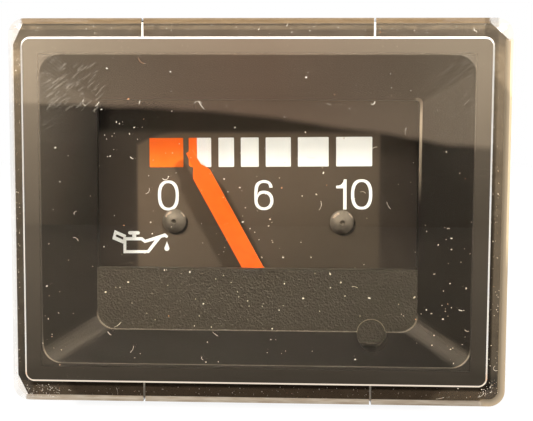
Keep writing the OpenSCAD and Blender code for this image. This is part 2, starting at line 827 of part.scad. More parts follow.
module terminal_rivets() {
    inside = rear_inner - blade_t;
    color(brass) both_sides(blade_x) translate([0, 0, rivet_up]) {
        turned(pin_head_r, inside - pin_head_t, inside, pin_head_t / 2, 0);
        rod(pin_r, inside - eps, case_back + eps);
        turned(pin_head_r, case_back, case_back + pin_head_t, 0, pin_head_t / 2);
    }
}

// The resistor lies across the terminals, with a bent lead on each foot
module series_resistor() {
    color(nylon) translate([0, lead_front, lead_up]) rotate([0, 90, 0]) {
        cylinder(r = resistor_r, h = resistor_l, center = true);
        cylinder(r = lead_r, h = 2 * blade_x, center = true);
    }
    color(zinc) both_sides(blade_x) translate([0, 0, lead_up]) {
        translate([0, lead_front, 0]) sphere(lead_r, $fn = 32);
        rod(lead_r, lead_front, rear_inner - blade_t);
    }
}

// The needle, drawn upright from its pivot: body, shoulders and a narrow tongue
module needle() {
    w = needle_w / 2;
    t = tongue_w / 2;
    knee = shoulder_at + 0.45 * shoulder_l;
    color(orange) at_needle() difference() {
        layer(needle_front, needle_back) polygon([
            [-w, -tail_l + 0.6], [-w + 0.6, -tail_l], [w - 0.6, -tail_l], [w, -tail_l + 0.6],
            [w, shoulder_at], [0.78 * w, knee], [t + 0.1, shoulder_at + shoulder_l],
            [t, needle_len], [-t, needle_len],
            [-t - 0.1, shoulder_at + shoulder_l], [-0.78 * w, knee], [-w, shoulder_at]
        ]);
        rod(boss_r + press_gap, needle_front - eps, needle_back + eps);
    }
}

module needle_hub() {
    color(black) at_needle() difference() {
        union() {
            rod(hub_r, hub_front, needle_front);
            rod(boss_r, needle_front - eps, needle_front + boss_l);
        }
        rod(spindle_r + press_gap, hub_front + hub_cap_t / 2, needle_front + boss_l + eps);
    }
}

module balance_weight() {
    color(brass) at_needle() translate([0, 0, -weight_at])
        rod(weight_r, needle_back, needle_back + weight_t);
}

module spindle() {
    color(steel) at_pivot() rod(spindle_r, hub_front + hub_cap_t / 2, core_back - 0.4);
}

module magnet_rotor() {
    color(ferrite) at_pivot() difference() {
        rod(rotor_r, core_mid - rotor_t / 2, core_mid + rotor_t / 2);
        rod(spindle_r + press_gap, core_mid - rotor_t, core_mid + rotor_t);
    }
}

// The lamp holder: a barrel in the rear wall, a collar that seats on it and a finger grip
module lamp_holder() {
    grip_back = pad_back + collar_t + grip_l;
    color(nylon) translate([0, 0, lamp_z]) difference() {
        union() {
            turned(barrel_r, pad_back - barrel_l, pad_back + eps, 0.6, 0);
            turned(collar_r, pad_back, pad_back + collar_t, 0, 0.5);
            layer(pad_back + collar_t - eps, grip_back) rounded(grip_w, grip_t, 1.5);
        }
        // Grooves across both flats of the grip, for the fingers
        for (side = [-1, 1], row = [1:3])
            translate([0, pad_back + collar_t + row * grip_l / 4, side * grip_t / 2])
                rotate([0, 90, 0]) cylinder(r = groove_r, h = 2 * grip_w, center = true);
        rod(bulb_r + press_gap, pad_back - barrel_l - eps, pad_back - barrel_l + bulb_in);
        both_sides(contact_x) layer(pad_back - barrel_l - eps, grip_back + eps)
            square([contact_t + 2 * press_gap, contact_w + 2 * press_gap], center = true);
    }
}

module lamp_glass() {
    mouth = pad_back - barrel_l;
    tip = mouth - bulb_l;
    color(clear) translate([0, 0, lamp_z]) {
        rod(bulb_r, tip + bulb_r, mouth + bulb_in);
        translate([0, tip + bulb_r, 0]) intersection() {
            sphere(bulb_r);
            translate([-bulb_r, -bulb_r, -bulb_r]) cube([2 * bulb_r, bulb_r + eps, 2 * bulb_r]);
        }
    }
}

module lamp_contacts() {
    color(brass) translate([0, 0, lamp_z]) both_sides(contact_x)
        layer(pad_back - barrel_l, pad_back + collar_t + grip_l + contact_l)
            square([contact_t, contact_w], center = true);
}

lens_cover();
dust_seal();
front_mask();
dial_plate();
dial_rivets();
movement_plate();
bobbin_front();
bobbin_rear();
inner_coil();
outer_coil();
front_bush();
rear_bush();
return_magnet();
shield_can();
can_screws();
fixing_studs();
stud_washers();
stud_nuts();
rear_case();
supply_terminal();
sender_terminal();
terminal_rivets();
series_resistor();
needle();
needle_hub();
balance_weight();
spindle();
magnet_rotor();
lamp_holder();
lamp_glass();
lamp_contacts();
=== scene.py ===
import json
import random
from math import atan2, cos, hypot, pi, sin

import bmesh
import bpy
from mathutils import Matrix, Vector
from mathutils.geometry import tessellate_polygon


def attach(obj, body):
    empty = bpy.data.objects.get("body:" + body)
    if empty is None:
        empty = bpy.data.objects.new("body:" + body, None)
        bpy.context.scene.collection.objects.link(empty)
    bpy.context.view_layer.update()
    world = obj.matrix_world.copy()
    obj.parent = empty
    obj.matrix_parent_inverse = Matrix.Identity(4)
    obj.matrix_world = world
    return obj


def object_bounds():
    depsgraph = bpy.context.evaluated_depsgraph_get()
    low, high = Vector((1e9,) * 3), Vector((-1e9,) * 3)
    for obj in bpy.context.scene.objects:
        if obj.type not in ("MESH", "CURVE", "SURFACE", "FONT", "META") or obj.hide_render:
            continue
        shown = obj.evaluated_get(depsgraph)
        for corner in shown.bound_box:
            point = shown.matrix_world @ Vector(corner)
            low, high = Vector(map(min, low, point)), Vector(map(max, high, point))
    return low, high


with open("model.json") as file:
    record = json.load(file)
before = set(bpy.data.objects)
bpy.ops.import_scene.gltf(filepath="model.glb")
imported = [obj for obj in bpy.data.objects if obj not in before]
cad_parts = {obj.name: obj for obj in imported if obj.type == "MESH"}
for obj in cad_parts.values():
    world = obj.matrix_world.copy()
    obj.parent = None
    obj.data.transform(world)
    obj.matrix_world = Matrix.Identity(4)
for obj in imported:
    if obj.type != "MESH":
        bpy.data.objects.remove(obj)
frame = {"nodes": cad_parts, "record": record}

cad_low, cad_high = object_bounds()
scene = bpy.context.scene
MM = 0.001

# places, in millimetres, as in the part
DIAL_Y = 2.5  # front face of the dial plate
STRIP_Y = -1.5  # front face of the strip below the window
MASK_Y = -6.2  # front face of the mask
LENS_Y = -8.5  # front face of the pane
LENS_X, LENS_Z = 32.5, 24.15  # half sizes of the lens box
WALL_X, WALL_Z = 31.0, 22.72  # where the end of its wall starts, as seen from the front
FLANGE_X, FLANGE_TOP, FLANGE_LOW = 37.15, 28.1, -29.4
FLANGE_R = 2.4  # its round corner
STRIP_TOP, WINDOW_LOW = -8.65, -17.75
WINDOW_RIGHT = 22.7  # where the right side of the window starts
RIVET_X, RIVET_Z = 12.7, -2.05  # places of the dial rivets
STUD_X, STUD_Z = 18.0, 4.0  # places of the studs
SLIT_X, SLIT_W, SLIT_DEEP = 17.1, 0.26, 0.7
PIN_R = 2.08  # the pale ring on the strip, at the edge a moulding pin left; its paleness is a painted highlight

# places in the photographed frame, in pixels
FRAME_W, FRAME_H = 533, 421
LIT_LEFT_PX, LIT_RIGHT_PX, LIT_ROW_PX = 138.5, 379, 180  # sides of the dial's lit part, beyond which its shadow is painted
LIT_TOP_PX, LIT_COLUMN_PX = 133, 250  # its upper edge
SHEET_EDGE_PX = ((30, 104), (470, 146))  # lower edge of the bright sheet that the pane mirrors
HANDLE_SLOT_PX = ((117.7, 235.4), (123.7, 238.0))
PIN_PX = (370.6, 332.5)

# camera
SENSOR = 36.0
FOCAL_PX = 797.83
CAM_AT = Vector((5.422, -118.5, 7.610))
YAW, PITCH, ROLL = 0.0342859, 0.0657251, 0.0048098
CLIP_NEAR, CLIP_FAR = 0.01, 20  # in metres


def camera_axes():
    """Right, up and forward of the camera."""
    ahead = Vector((-sin(YAW) * cos(PITCH), cos(YAW) * cos(PITCH), -sin(PITCH)))
    level = Vector((cos(YAW), sin(YAW), 0))
    up = level.cross(ahead)
    right = level * cos(ROLL) + up * sin(ROLL)
    return right, -level * sin(ROLL) + up * cos(ROLL), ahead


def make_camera():
    right, up, ahead = camera_axes()
    data = bpy.data.cameras.new("camera")
    data.sensor_width = SENSOR
    data.lens = FOCAL_PX * SENSOR / FRAME_W
    data.clip_start, data.clip_end = CLIP_NEAR, CLIP_FAR
    cam = bpy.data.objects.new("camera", data)
    scene.collection.objects.link(cam)
    turn = Matrix((right, up, -ahead)).transposed().to_4x4()
    cam.matrix_world = Matrix.Translation(CAM_AT * MM) @ turn
    scene.camera = cam


def on_plane(px, py, y):
    """Point (x, z) in mm where the frame's pixel meets the plane at that depth."""
    right, up, ahead = camera_axes()
    ray = ahead * FOCAL_PX + right * (px - FRAME_W / 2) - up * (py - FRAME_H / 2)
    far = (y - CAM_AT.y) / ray.y
    return CAM_AT.x + ray.x * far, CAM_AT.z + ray.z * far


make_camera()


# shader helpers
class Nodes:
    """A node tree, with short ways to add to it and link it."""

    def __init__(self, tree):
        self.tree = tree
        self.tree.nodes.clear()

    def put(self, socket, value):
        if isinstance(value, bpy.types.NodeSocket):
            self.tree.links.new(value, socket)
        elif hasattr(socket.default_value, "__len__") and len(value) == 3 and len(socket.default_value) == 4:
            socket.default_value = (*value, 1)
        else:
            socket.default_value = value

    def add(self, kind, props=None, **sockets):
        made = self.tree.nodes.new("ShaderNode" + kind)
        for key, value in (props or {}).items():
            setattr(made, key, value)
        for key, value in sockets.items():
            self.put(made.inputs[key.replace("_", " ")], value)
        return made

    def look(self, kind, **sockets):
        """The output of a new shader."""
        return self.add(kind, **sockets).outputs[0]

    def feed(self, made, *values):
        """Fills a node's first sockets, and gives its first output."""
        for socket, value in zip(made.inputs, values):
            self.put(socket, value)
        return made.outputs[0]

    def calc(self, what, a, b=0.0, c=0.0):
        return self.feed(self.add("Math", {"operation": what}), a, b, c)

    def times(self, first, *others):
        for other in others:
            first = self.calc("MULTIPLY", first, other)
        return first

    def most(self, first, *others):
        for other in others:
            first = self.calc("MAXIMUM", first, other)
        return first

    def plus(self, a, b):
        return self.calc("ADD", a, b)

    def minus(self, a, b):
        return self.calc("SUBTRACT", a, b)

    def over(self, value, level):
        return self.calc("GREATER_THAN", value, level)

    def under(self, value, level):
        return self.calc("LESS_THAN", value, level)

    def size(self, value):
        return self.calc("ABSOLUTE", value)

    def reach(self, a, b):
        """Length of the vector (a, b)."""
        return self.calc("SQRT", self.plus(self.calc("POWER", a, 2), self.calc("POWER", b, 2)))

    def parts(self, vector):
        split = self.add("SeparateXYZ")
        self.feed(split, vector)
        return split.outputs

    def span(self, value, low, high, to_low=0.0, to_high=1.0, smooth=False):
        made = self.add("MapRange", {"interpolation_type": "SMOOTHSTEP" if smooth else "LINEAR"})
        return self.feed(made, value, low, high, to_low, to_high)

    def fall(self, value, low, high, smooth=False):
        """1 up to low and 0 from high on."""
        return self.span(value, low, high, 1, 0, smooth)

    def band(self, value, start, full, hold, end):
        """0, up to 1 from start to full, and down again from hold to end."""
        return self.times(self.span(value, start, full), self.fall(value, hold, end))

    def blend(self, share, first, second):
        """Colour between two."""
        made = self.add("Mix", {"data_type": "RGBA"})
        self.put(made.inputs[0], share)
        self.put(made.inputs[6], first)
        self.put(made.inputs[7], second)
        return made.outputs[2]

    def layer(self, below, share, above):
        """A shader laid on another, by that share."""
        return self.feed(self.add("MixShader"), share, below, above)

    def seen_directly(self):
        """1 for camera, glossy and transmission rays."""
        path = self.add("LightPath")
        kinds = ("Is Camera Ray", "Is Glossy Ray", "Is Transmission Ray")
        return self.most(*(path.outputs[kind] for kind in kinds))


class Finish(Nodes):
    """A node material: its principled shader, its nodes, and coordinates in millimetres."""

    def __init__(self, name, **settings):
        self.mat = bpy.data.materials.new(name)
        self.mat.use_nodes = True
        super().__init__(self.mat.node_tree)
        self.out = self.add("OutputMaterial")
        self.shader = self.add("BsdfPrincipled", **settings)
        self.surface(self.shader.outputs[0])
        place = self.add("TexCoord")
        scaled = self.add("VectorMath", {"operation": "SCALE"}, Scale=1 / MM)
        self.mm = self.feed(scaled, place.outputs["Object"])
        self.x, self.y, self.z = self.parts(self.mm)

    def surface(self, shader):
        self.put(self.out.inputs["Surface"], shader)

    def noise(self, cell, detail=3.0, rough=0.55, where=None):
        """Soft noise with cells of that many millimetres, 0 to 1."""
        made = self.add("TexNoise", Scale=1 / cell, Detail=detail, Roughness=rough)
        self.put(made.inputs["Vector"], self.mm if where is None else where)
        return made.outputs["Fac"]

    def mottled(self, cell, detail, dark, light, low=0.3, high=0.7):
        """Patches of two colours, or of two values."""
        share = self.noise(cell, detail)
        if isinstance(dark, tuple):
            return self.blend(self.span(share, low, high), dark, light)
        return self.span(share, low, high, dark, light)

    def cells(self, cell, feature="F1"):
        """Distance to scattered points, in cells."""
        made = self.add("TexVoronoi", {"feature": feature}, Scale=1 / cell, Randomness=1.0)
        self.put(made.inputs["Vector"], self.mm)
        return made.outputs["Distance"]

    def stretched(self, x, y, z, turn=0.0):
        """Coordinates squeezed along the axes, for streaks."""
        made = self.add("Mapping", {"vector_type": "TEXTURE"})
        self.put(made.inputs["Vector"], self.mm)
        made.inputs["Scale"].default_value = (1 / x, 1 / y, 1 / z)
        made.inputs["Rotation"].default_value = (0, turn, 0)
        return made.outputs[0]

    def colour(self, value):
        self.put(self.shader.inputs["Base Color"], value)

    def dress(self, tint, rough, *bumps):
        """Sets colour and roughness, and bumps by (height 0 to 1, depth in mm), one on another."""
        self.colour(tint)
        self.put(self.shader.inputs["Roughness"], rough)
        socket = self.shader.inputs["Normal"]
        for height, depth in reversed(bumps):
            bump = self.add("Bump", Strength=1.0, Distance=depth * MM, Height=height)
            self.put(socket, bump.outputs[0])
            socket = bump.inputs["Normal"]
        return self


def coated(name, dark, light, mottle, rough_low, rough_high, grain, depth):
    """A moulded or painted surface: mottled colour, uneven gloss and a fine grain."""
    f = Finish(name)
    return f.dress(f.mottled(mottle, 4, dark, light), f.mottled(mottle * 0.4, 3, rough_low, rough_high),
                   (f.noise(grain, 2), depth))


# the clear cover
BEVEL = 0.31  # depth of the bevelled edge round the pane
TOP_STRIP, LOW_STRIP = 0.78, 0.84  # widths of the tan strips along the flange's upper and lower edges
FLAT_FACING = 0.93  # faces whose normal has this share along Y look straight to the front or back
LEFT_CUT_X, RIGHT_CUT_X, CUT_SOFT = -35.6, 33.3, 0.3  # where the corners that are cut off behind begin
RIGHT_STRIP, RIGHT_STRIP_TOP = 1.0, 24.7  # width and upper end of the tan strip down the right side
BRIGHT_EDGE = 0.28  # width of the bright line along it
# lines, each by where it starts, is full, starts to fade and ends: two below the flange's upper edge,
# by the distance from it, and the dark one below the box
DARK_LINE, PALE_LINE = (0.75, 0.85, 0.92, 1.02), (1.05, 1.15, 1.55, 1.75)
SHADE_Z, SHADE_X = (-27.25, -26.95, -26.4, -26.2), (-34.8, -34.0, 34.3, 35.0)


def frame_sheen(f):
    """Specular level of the mask's flat frame, lower at the top and along the foot."""
    level = f.times(f.span(f.z, -5, 8, 1.06, 0.87), f.span(f.z, -22.6, -20.6, 0.70, 1.0))
    return f.times(level, f.span(f.z, 20.6, 22.2, 1.0, 0.92))


def wall_end(f, front, path):
    """The end of the box's wall, which shows the black moulding behind it."""
    past = f.most(f.span(f.size(f.x), WALL_X - 1.15, WALL_X - 0.85),
                  f.span(f.size(f.z), WALL_Z - 1.1, WALL_Z - 0.75))
    behind = f.look("BsdfPrincipled", Roughness=0.31, Coat_Weight=1.0, Coat_Roughness=0.0, Coat_IOR=1.8,
                    Specular_IOR_Level=frame_sheen(f), Base_Color=(0.0125, 0.011, 0.0087))
    return f.times(front, past, path.outputs["Is Camera Ray"], 0.97), behind


def pane_film(f, front):
    """Fine dust, a thin film, and scuffs at the upper corners of the pane."""
    fine = f.times(f.fall(f.cells(0.55), 0.05, 0.10), f.mottled(6.0, 2, 0.0, 1.0, 0.50, 0.66))
    film = f.mottled(9.0, 4, 0.0, 0.006, 0.35, 0.8)
    hair = f.span(f.noise(0.34, 2, 0.5, f.stretched(0.12, 1, 2.2, -0.64)), 0.53, 0.66)
    high = f.span(f.z, 6, 15, smooth=True)
    corners = f.most(f.times(f.fall(f.x, -31, -22, True), high),
                     f.times(f.span(f.x, 20, 29, smooth=True), high, 0.5))
    inside = f.times(f.fall(f.size(f.x), WALL_X - 1.5, WALL_X - 0.5),
                     f.fall(f.size(f.z), WALL_Z - 1.0, WALL_Z - 0.4))
    cover = f.most(f.times(fine, 0.15), film, f.times(hair, corners, inside, 0.12))
    return f.times(front, cover), f.look("BsdfDiffuse", Color=(0.80, 0.74, 0.64))


def flange_grime(f):
    """Grime on the flange, thickest at the sides, with a dark and a pale line along the top."""
    at_side = f.times(f.span(f.size(f.x), LENS_X - 5.0, LENS_X + 0.1, smooth=True),
                      f.span(f.size(f.z), 23.0, 25.5, 1, 0.3))
    right = f.span(f.x, 0, 1)
    side_level = f.plus(right, f.times(f.minus(1.0, right), f.span(f.z, 0, 22, 0.65, 1.15)))
    ends = f.span(f.over(f.z, 0), 0, 1, 0.02, 0.07)
    weight = f.most(ends, f.times(at_side, side_level, f.span(f.z, -24, 20, 0.10, 0.25)))
    streaks = f.span(f.noise(1.6, 4, 0.6, f.stretched(0.25, 1, 2.2)), 0.3, 0.7, 0.75, 1.25)
    grains = f.times(f.span(f.cells(0.42), 0.12, 0.22, 0.5, 0.0), f.mottled(1.9, 3, 0.0, 1.0, 0.45, 0.62))
    grime = f.plus(f.times(weight, streaks), f.times(grains, 0.6))
    down = f.minus(FLANGE_TOP, f.z)
    dark = f.times(f.band(down, *DARK_LINE), f.mottled(1.4, 2, 0.0, 1.0, 0.35, 0.5))
    pale = f.times(f.band(down, *PALE_LINE), f.mottled(1.1, 3, 0.03, 0.16, 0.35, 0.65))
    return f.plus(f.times(grime, f.span(dark, 0, 1, 1, 0.35)), pale)


def left_cut(f):
    """0 at the two left corners, which are cut off behind."""
    return f.span(f.minus(f.x, f.times(f.noise(0.7, 2), 0.5)), LEFT_CUT_X, LEFT_CUT_X + CUT_SOFT)


def grime_and_painted_light(f, on_flange):
    """The grime, and painted light: tan strips along the top and down the right side, where the lit rim
    behind would show through, with a painted highlight on the right edge.
    """
    # painted light: a tan strip along the top
    top_band = f.span(f.z, FLANGE_TOP - TOP_STRIP - 0.06, FLANGE_TOP - TOP_STRIP + 0.06)
    ragged = f.minus(f.x, f.times(f.noise(0.5, 2), 0.7))
    right_cut = f.fall(ragged, RIGHT_CUT_X, RIGHT_CUT_X + CUT_SOFT)
    # the distance inside the outline, at the right side and round the lower corner
    past_x = f.most(f.minus(f.x, FLANGE_X - FLANGE_R), 0.0)
    past_z = f.most(f.minus(FLANGE_LOW + FLANGE_R, f.z), 0.0)
    inset = f.minus(FLANGE_R, f.reach(past_x, past_z))
    # painted light: a tan strip down the right side and round the lower corner
    right_band = f.times(f.fall(inset, RIGHT_STRIP, RIGHT_STRIP + 0.15), f.span(f.x, 33.2, 34.0),
                         f.fall(f.z, RIGHT_STRIP_TOP, RIGHT_STRIP_TOP + 0.5))
    # painted highlight: a bright line along the right edge
    right_edge = f.times(f.fall(inset, BRIGHT_EDGE, BRIGHT_EDGE + 0.08), f.span(f.z, -9, -4))
    strips = f.most(f.times(top_band, right_cut, left_cut(f), 0.90), f.times(right_band, 0.93))
    left_clear = f.span(f.x, -FLANGE_X + 0.35, -FLANGE_X + 0.55)
    share = f.calc("MINIMUM", f.times(on_flange, left_clear, f.most(flange_grime(f), strips)), 1.0)
    along = f.span(f.noise(0.9, 4, 0.6, f.stretched(0.3, 1, 2)), 0.35, 0.65)
    tint = f.blend(top_band, f.mottled(0.8, 3, (0.61, 0.45, 0.27), (0.73, 0.56, 0.36), 0.35, 0.7),
                   f.blend(along, (0.19, 0.127, 0.066), (0.25, 0.174, 0.095)))
    side_tint = f.blend(f.fall(inset, 0.1, 1.1), (0.20, 0.17, 0.125), (0.50, 0.385, 0.245))
    side_tint = f.blend(right_edge, side_tint, (0.86, 0.70, 0.44))
    return share, f.look("BsdfDiffuse", Color=f.blend(right_band, tint, side_tint))


def low_band(f):
    return f.fall(f.z, FLANGE_LOW + LOW_STRIP - 0.04, FLANGE_LOW + LOW_STRIP + 0.04)


def low_glow(f, on_flange):
    """The strip along the lower edge, bright with light gathered in the acrylic."""
    along = f.span(f.noise(1.2, 3, 0.6, f.stretched(0.3, 1, 3)), 0.35, 0.65)
    glow = f.look("Emission", Color=f.blend(along, (0.40, 0.31, 0.22), (0.58, 0.49, 0.38)),
                  Strength=f.span(f.x, 8, 33, 1.0, 0.74))
    return f.times(on_flange, low_band(f), left_cut(f), f.fall(f.x, 33.0, 34.4), 0.85), glow


def shade_by_box(f, on_flange):
    """The dark line on the flange below and beside the box, as seen from the front."""
    below = f.times(f.band(f.z, *SHADE_Z), f.band(f.x, *SHADE_X))
    beside = f.times(f.fall(f.x, 34.85, 35.15), f.over(f.x, 33.0), f.span(f.z, -27.2, -26.6))
    share = f.times(f.most(below, beside), on_flange, f.span(f.z, -5, 20, 0.78, 0.30))
    return share, f.look("BsdfDiffuse", Color=(0.010, 0.008, 0.006))


def bright_bevel(f, facing, flat):
    """The bevelled edge of the box, which catches the light all round."""
    share = f.times(f.under(f.y, LENS_Y + BEVEL), f.minus(1.0, flat), 0.88)
    tint = f.mottled(4.0, 3, (1.0, 0.93, 0.82), (1.0, 0.98, 0.95), 0.35, 0.65)
    gloss = f.look("BsdfGlossy", Color=tint, Roughness=0.25)
    lit = f.look("BsdfDiffuse", Color=tint)
    bright = f.layer(gloss, f.span(facing["Z"], 0.05, 0.35, 0.0, 0.95), lit)
    # its lower side is bright with light gathered in the acrylic
    glow = f.look("Emission", Color=(1.0, 0.88, 0.74))
    return share, f.layer(bright, f.span(facing["Z"], -0.35, -0.05, 0.92, 0.0), glow)


def clear_rim(f, flat):
    """The flange's rim, which only lets the light past."""
    share = f.times(f.over(f.y, -0.05), f.minus(1.0, flat), f.over(f.size(f.x), FLANGE_X - 3.0), 0.9)
    return share, f.look("BsdfTransparent", Color=(0.98, 0.97, 0.95))


def lens_plastic():
    """Clear acrylic: polished edges painted bright where they catch the light, dust and scuffs in front,
    grime and painted light and shade on the flange.
    """
    f = Finish("lens_clear", Transmission_Weight=1.0, IOR=1.49, Roughness=0.0)
    path = f.add("LightPath")
    facing = f.parts(f.add("NewGeometry").outputs["Normal"])
    flat = f.over(f.size(facing["Y"]), FLAT_FACING)
    front = f.times(f.under(f.y, LENS_Y + 0.05), flat)
    on_flange = f.times(f.over(f.y, -0.1), f.under(f.y, 0.05), flat)

    # a brown film on the lower part of the flange
    film = f.times(f.over(f.y, -0.1), f.fall(f.z, -LENS_Z, -LENS_Z + 0.3),
                   f.fall(f.size(f.x), 34.0, 34.6))
    film_tint = f.blend(low_band(f), (1.0, 0.77, 0.50), (0.60, 0.50, 0.38))
    f.colour(f.blend(film, (0.99, 0.985, 0.975), film_tint))

    acrylic = f.shader.outputs[0]
    for share, above in (wall_end(f, front, path), pane_film(f, front), grime_and_painted_light(f, on_flange),
                         shade_by_box(f, on_flange), clear_rim(f, flat), low_glow(f, on_flange),
                         bright_bevel(f, facing, flat)):
        acrylic = f.layer(acrylic, share, above)
    # lamps and soft light reach what lies behind the acrylic
    through = f.look("BsdfTransparent", Color=(0.95, 0.94, 0.92))
    lighting = f.most(path.outputs["Is Shadow Ray"], path.outputs["Is Diffuse Ray"])
    f.surface(f.layer(acrylic, lighting, through))
    return f


# edges of the mask painted paler as highlights, where they would catch the light: the lower and right part
# of the mouth, with its ends
MOUTH_LOW, MOUTH_RIGHT = (-19.5, -18.0), (28, 29)
MOUTH_END_X, MOUTH_END_Z = (30.2, 30.4), (-22.0, -21.8)
# painted highlights on the foot of the window and its right side: where each starts, is full, starts to fade
# and ends
FOOT_Z = (-19.4, -19.0, -15.8, -15.0)
SIDE_X, SIDE_Z = (WINDOW_RIGHT, WINDOW_RIGHT + 0.3, 25.0, 25.5), (1, 14, 17, 18)


def grained_plastic():
    """Black moulding: a fine grain on the frame and slopes, and a pebbled one on the strip."""
    f = Finish("mask_grained")
    strip = f.times(f.over(f.y, STRIP_Y - 0.06), f.under(f.z, STRIP_TOP + 0.3),
                    f.over(f.z, WINDOW_LOW - 2.2))
    # the flat frame is glossier than the slopes
    slopes = f.span(f.x, 12, 24, 0.22, 0.14)
    level = f.times(f.span(f.y, MASK_Y + 0.02, MASK_Y + 0.10, 1.0, slopes), frame_sheen(f))
    f.put(f.shader.inputs["Specular IOR Level"], f.most(level, f.times(strip, 0.3)))
    ground = f.mottled(2.5, 4, (0.0055, 0.0048, 0.0038), (0.0078, 0.0069, 0.0055))
    # painted shade: the frame, slopes and strip darker towards the right
    ground = f.blend(f.span(f.x, 4, 22), ground, (0.0035, 0.0031, 0.0025))
    strip_tint = f.blend(f.span(f.x, -18, 18), (0.0228, 0.0198, 0.0146), (0.0165, 0.0148, 0.0108))
    ground = f.blend(strip, ground, strip_tint)

    def ledge(near, far):
        return f.band(f.y, near - 0.03, near, far, far + 0.03)

    low = f.most(f.fall(f.z, *MOUTH_LOW), f.times(f.span(f.x, *MOUTH_RIGHT, 0, 0.4), f.fall(f.z, -5, 5)))
    mouth = f.times(ledge(MASK_Y + 0.05, MASK_Y + 0.10), low, f.fall(f.x, *MOUTH_END_X),
                    f.span(f.z, *MOUTH_END_Z))
    foot = f.times(ledge(STRIP_Y - 0.15, STRIP_Y - 0.07), f.band(f.z, *FOOT_Z))
    # painted highlights: paler lines along the mouth's lower edge and the window's foot
    painted_edge_highlight = f.times(f.most(mouth, foot), f.mottled(1.3, 3, 0.55, 1.0, 0.3, 0.65))
    ground = f.blend(painted_edge_highlight, ground, (0.125, 0.109, 0.083))
    # painted highlight: a pale line along the right edge of the window
    side = f.times(ledge(STRIP_Y - 0.22, STRIP_Y), f.band(f.x, *SIDE_X), f.band(f.z, *SIDE_Z))
    rough = f.plus(f.mottled(1.2, 3, 0.28, 0.34), f.times(strip, 0.14))
    pebbles = f.span(f.cells(0.27, "SMOOTH_F1"), 0.1, 0.8)
    depth = f.span(strip, 0, 1, 0.10, 1.0)
    return f.dress(f.blend(side, ground, (0.42, 0.35, 0.26)), rough, (f.times(pebbles, depth), 0.07),
                   (f.times(f.noise(0.32, 3, 0.6), depth), 0.09))


def round_rivet(f):
    """Distance from the nearest rivet's centre, and the cosine to a direction from there."""
    x = f.minus(f.x, f.times(f.calc("SIGN", f.x), RIVET_X))
    z = f.minus(f.z, RIVET_Z)
    r = f.reach(x, z)

    def towards(degrees):
        a = degrees * pi / 180
        return f.calc("DIVIDE", f.plus(f.times(x, cos(a)), f.times(z, sin(a))), f.most(r, 0.01))

    return r, towards


def dial_black():
    """Matt black paint with a silky sheen and a few specks of dust; painted light and shade make it paler
    where the lamps reach through the window, and darker in painted shadows of the window's walls and of the
    rivets.
    """
    f = Finish("dial_black", Specular_IOR_Level=0.12)
    ground = f.mottled(5, 4, (0.093, 0.070, 0.049), (0.104, 0.079, 0.056))
    # painted light and shade: paler to the upper left and darker to the lower right, as the lamps fall
    # across the dial
    ground = f.blend(f.span(f.minus(f.times(f.x, 0.6), f.z), -11, 14), ground, (0.044, 0.0355, 0.0255))
    # painted shadow: darker at the sides and the top, where the window's walls cut off the lamps
    left = on_plane(LIT_LEFT_PX, LIT_ROW_PX, DIAL_Y)[0]
    right = on_plane(LIT_RIGHT_PX, LIT_ROW_PX, DIAL_Y)[0]
    top = on_plane(LIT_COLUMN_PX, LIT_TOP_PX, DIAL_Y)[1]
    # the painted shadow's edge at the top drops to the left, with a round corner
    sag = f.times(f.calc("POWER", f.fall(f.x, left, left + 6.5), 2), 1.9)
    window_shadow = f.most(f.fall(f.x, left - 0.35, left + 0.25, True),
                  f.span(f.x, right - 0.25, right + 0.35, smooth=True),
                  f.span(f.plus(f.z, sag), top - 0.35, top + 0.45, smooth=True))
    # painted shadow, darkest at the top left, where the window cuts off both lamps
    top_left_shadow = f.times(f.span(f.x, -19, -12, 1, 0.15), f.span(f.z, top - 0.2, top + 0.8))
    ground = f.blend(window_shadow, ground, f.blend(top_left_shadow, (0.034, 0.028, 0.0225), (0.0105, 0.0088, 0.0075)))
    # painted shadow: a dark crescent on the dial at the lower right of each rivet's head
    r, towards = round_rivet(f)
    under = towards(-45)
    rivet_shadow = f.times(f.fall(r, f.span(under, 0.4, 1.0, 1.90, 2.12), f.span(under, 0.4, 1.0, 2.0, 2.22)),
                  f.span(under, 0.35, 0.65))
    ground = f.blend(rivet_shadow, ground, (0.006, 0.005, 0.004))
    specks = f.times(f.fall(f.cells(1.6), 0.03, 0.05), f.mottled(2.0, 1, 0.0, 1.0, 0.5, 0.55))
    return f.dress(f.blend(specks, ground, (0.30, 0.26, 0.2)), f.mottled(3.0, 3, 0.50, 0.58),
                   (f.noise(0.12, 2), 0.006))


def needle_orange():
    f = Finish("needle_orange", Specular_IOR_Level=0.4)
    paint = f.mottled(1.5, 3, (0.76, 0.100, 0.006), (0.82, 0.123, 0.009))
    return f.dress(paint, f.mottled(0.8, 2, 0.42, 0.52), (f.noise(0.25, 2), 0.004))


def print_ink(name, dark, light, top=None):
    """Printing ink; a top colour, if given, is painted shade on the upper part of the blocks."""
    f = Finish(name, Specular_IOR_Level=0.4)
    ink = f.mottled(1.8, 3, dark, light)
    # painted shade: the blocks darker at the top, in the shadow of the window's upper edge
    if top:
        ink = f.blend(f.span(f.z, 7.6, 9.9), ink, top)
    return f.dress(ink, f.mottled(0.7, 2, 0.45, 0.6), (f.noise(0.2, 2), 0.003))


# the two painted glints on each rivet, highlights where the lamps would catch it: inner and outer radius,
# direction in degrees and how far they reach
GLINTS = ((1.32, 1.62, 130, 0.90, 0.95), (1.62, 1.74, 39, 0.96, 0.98))


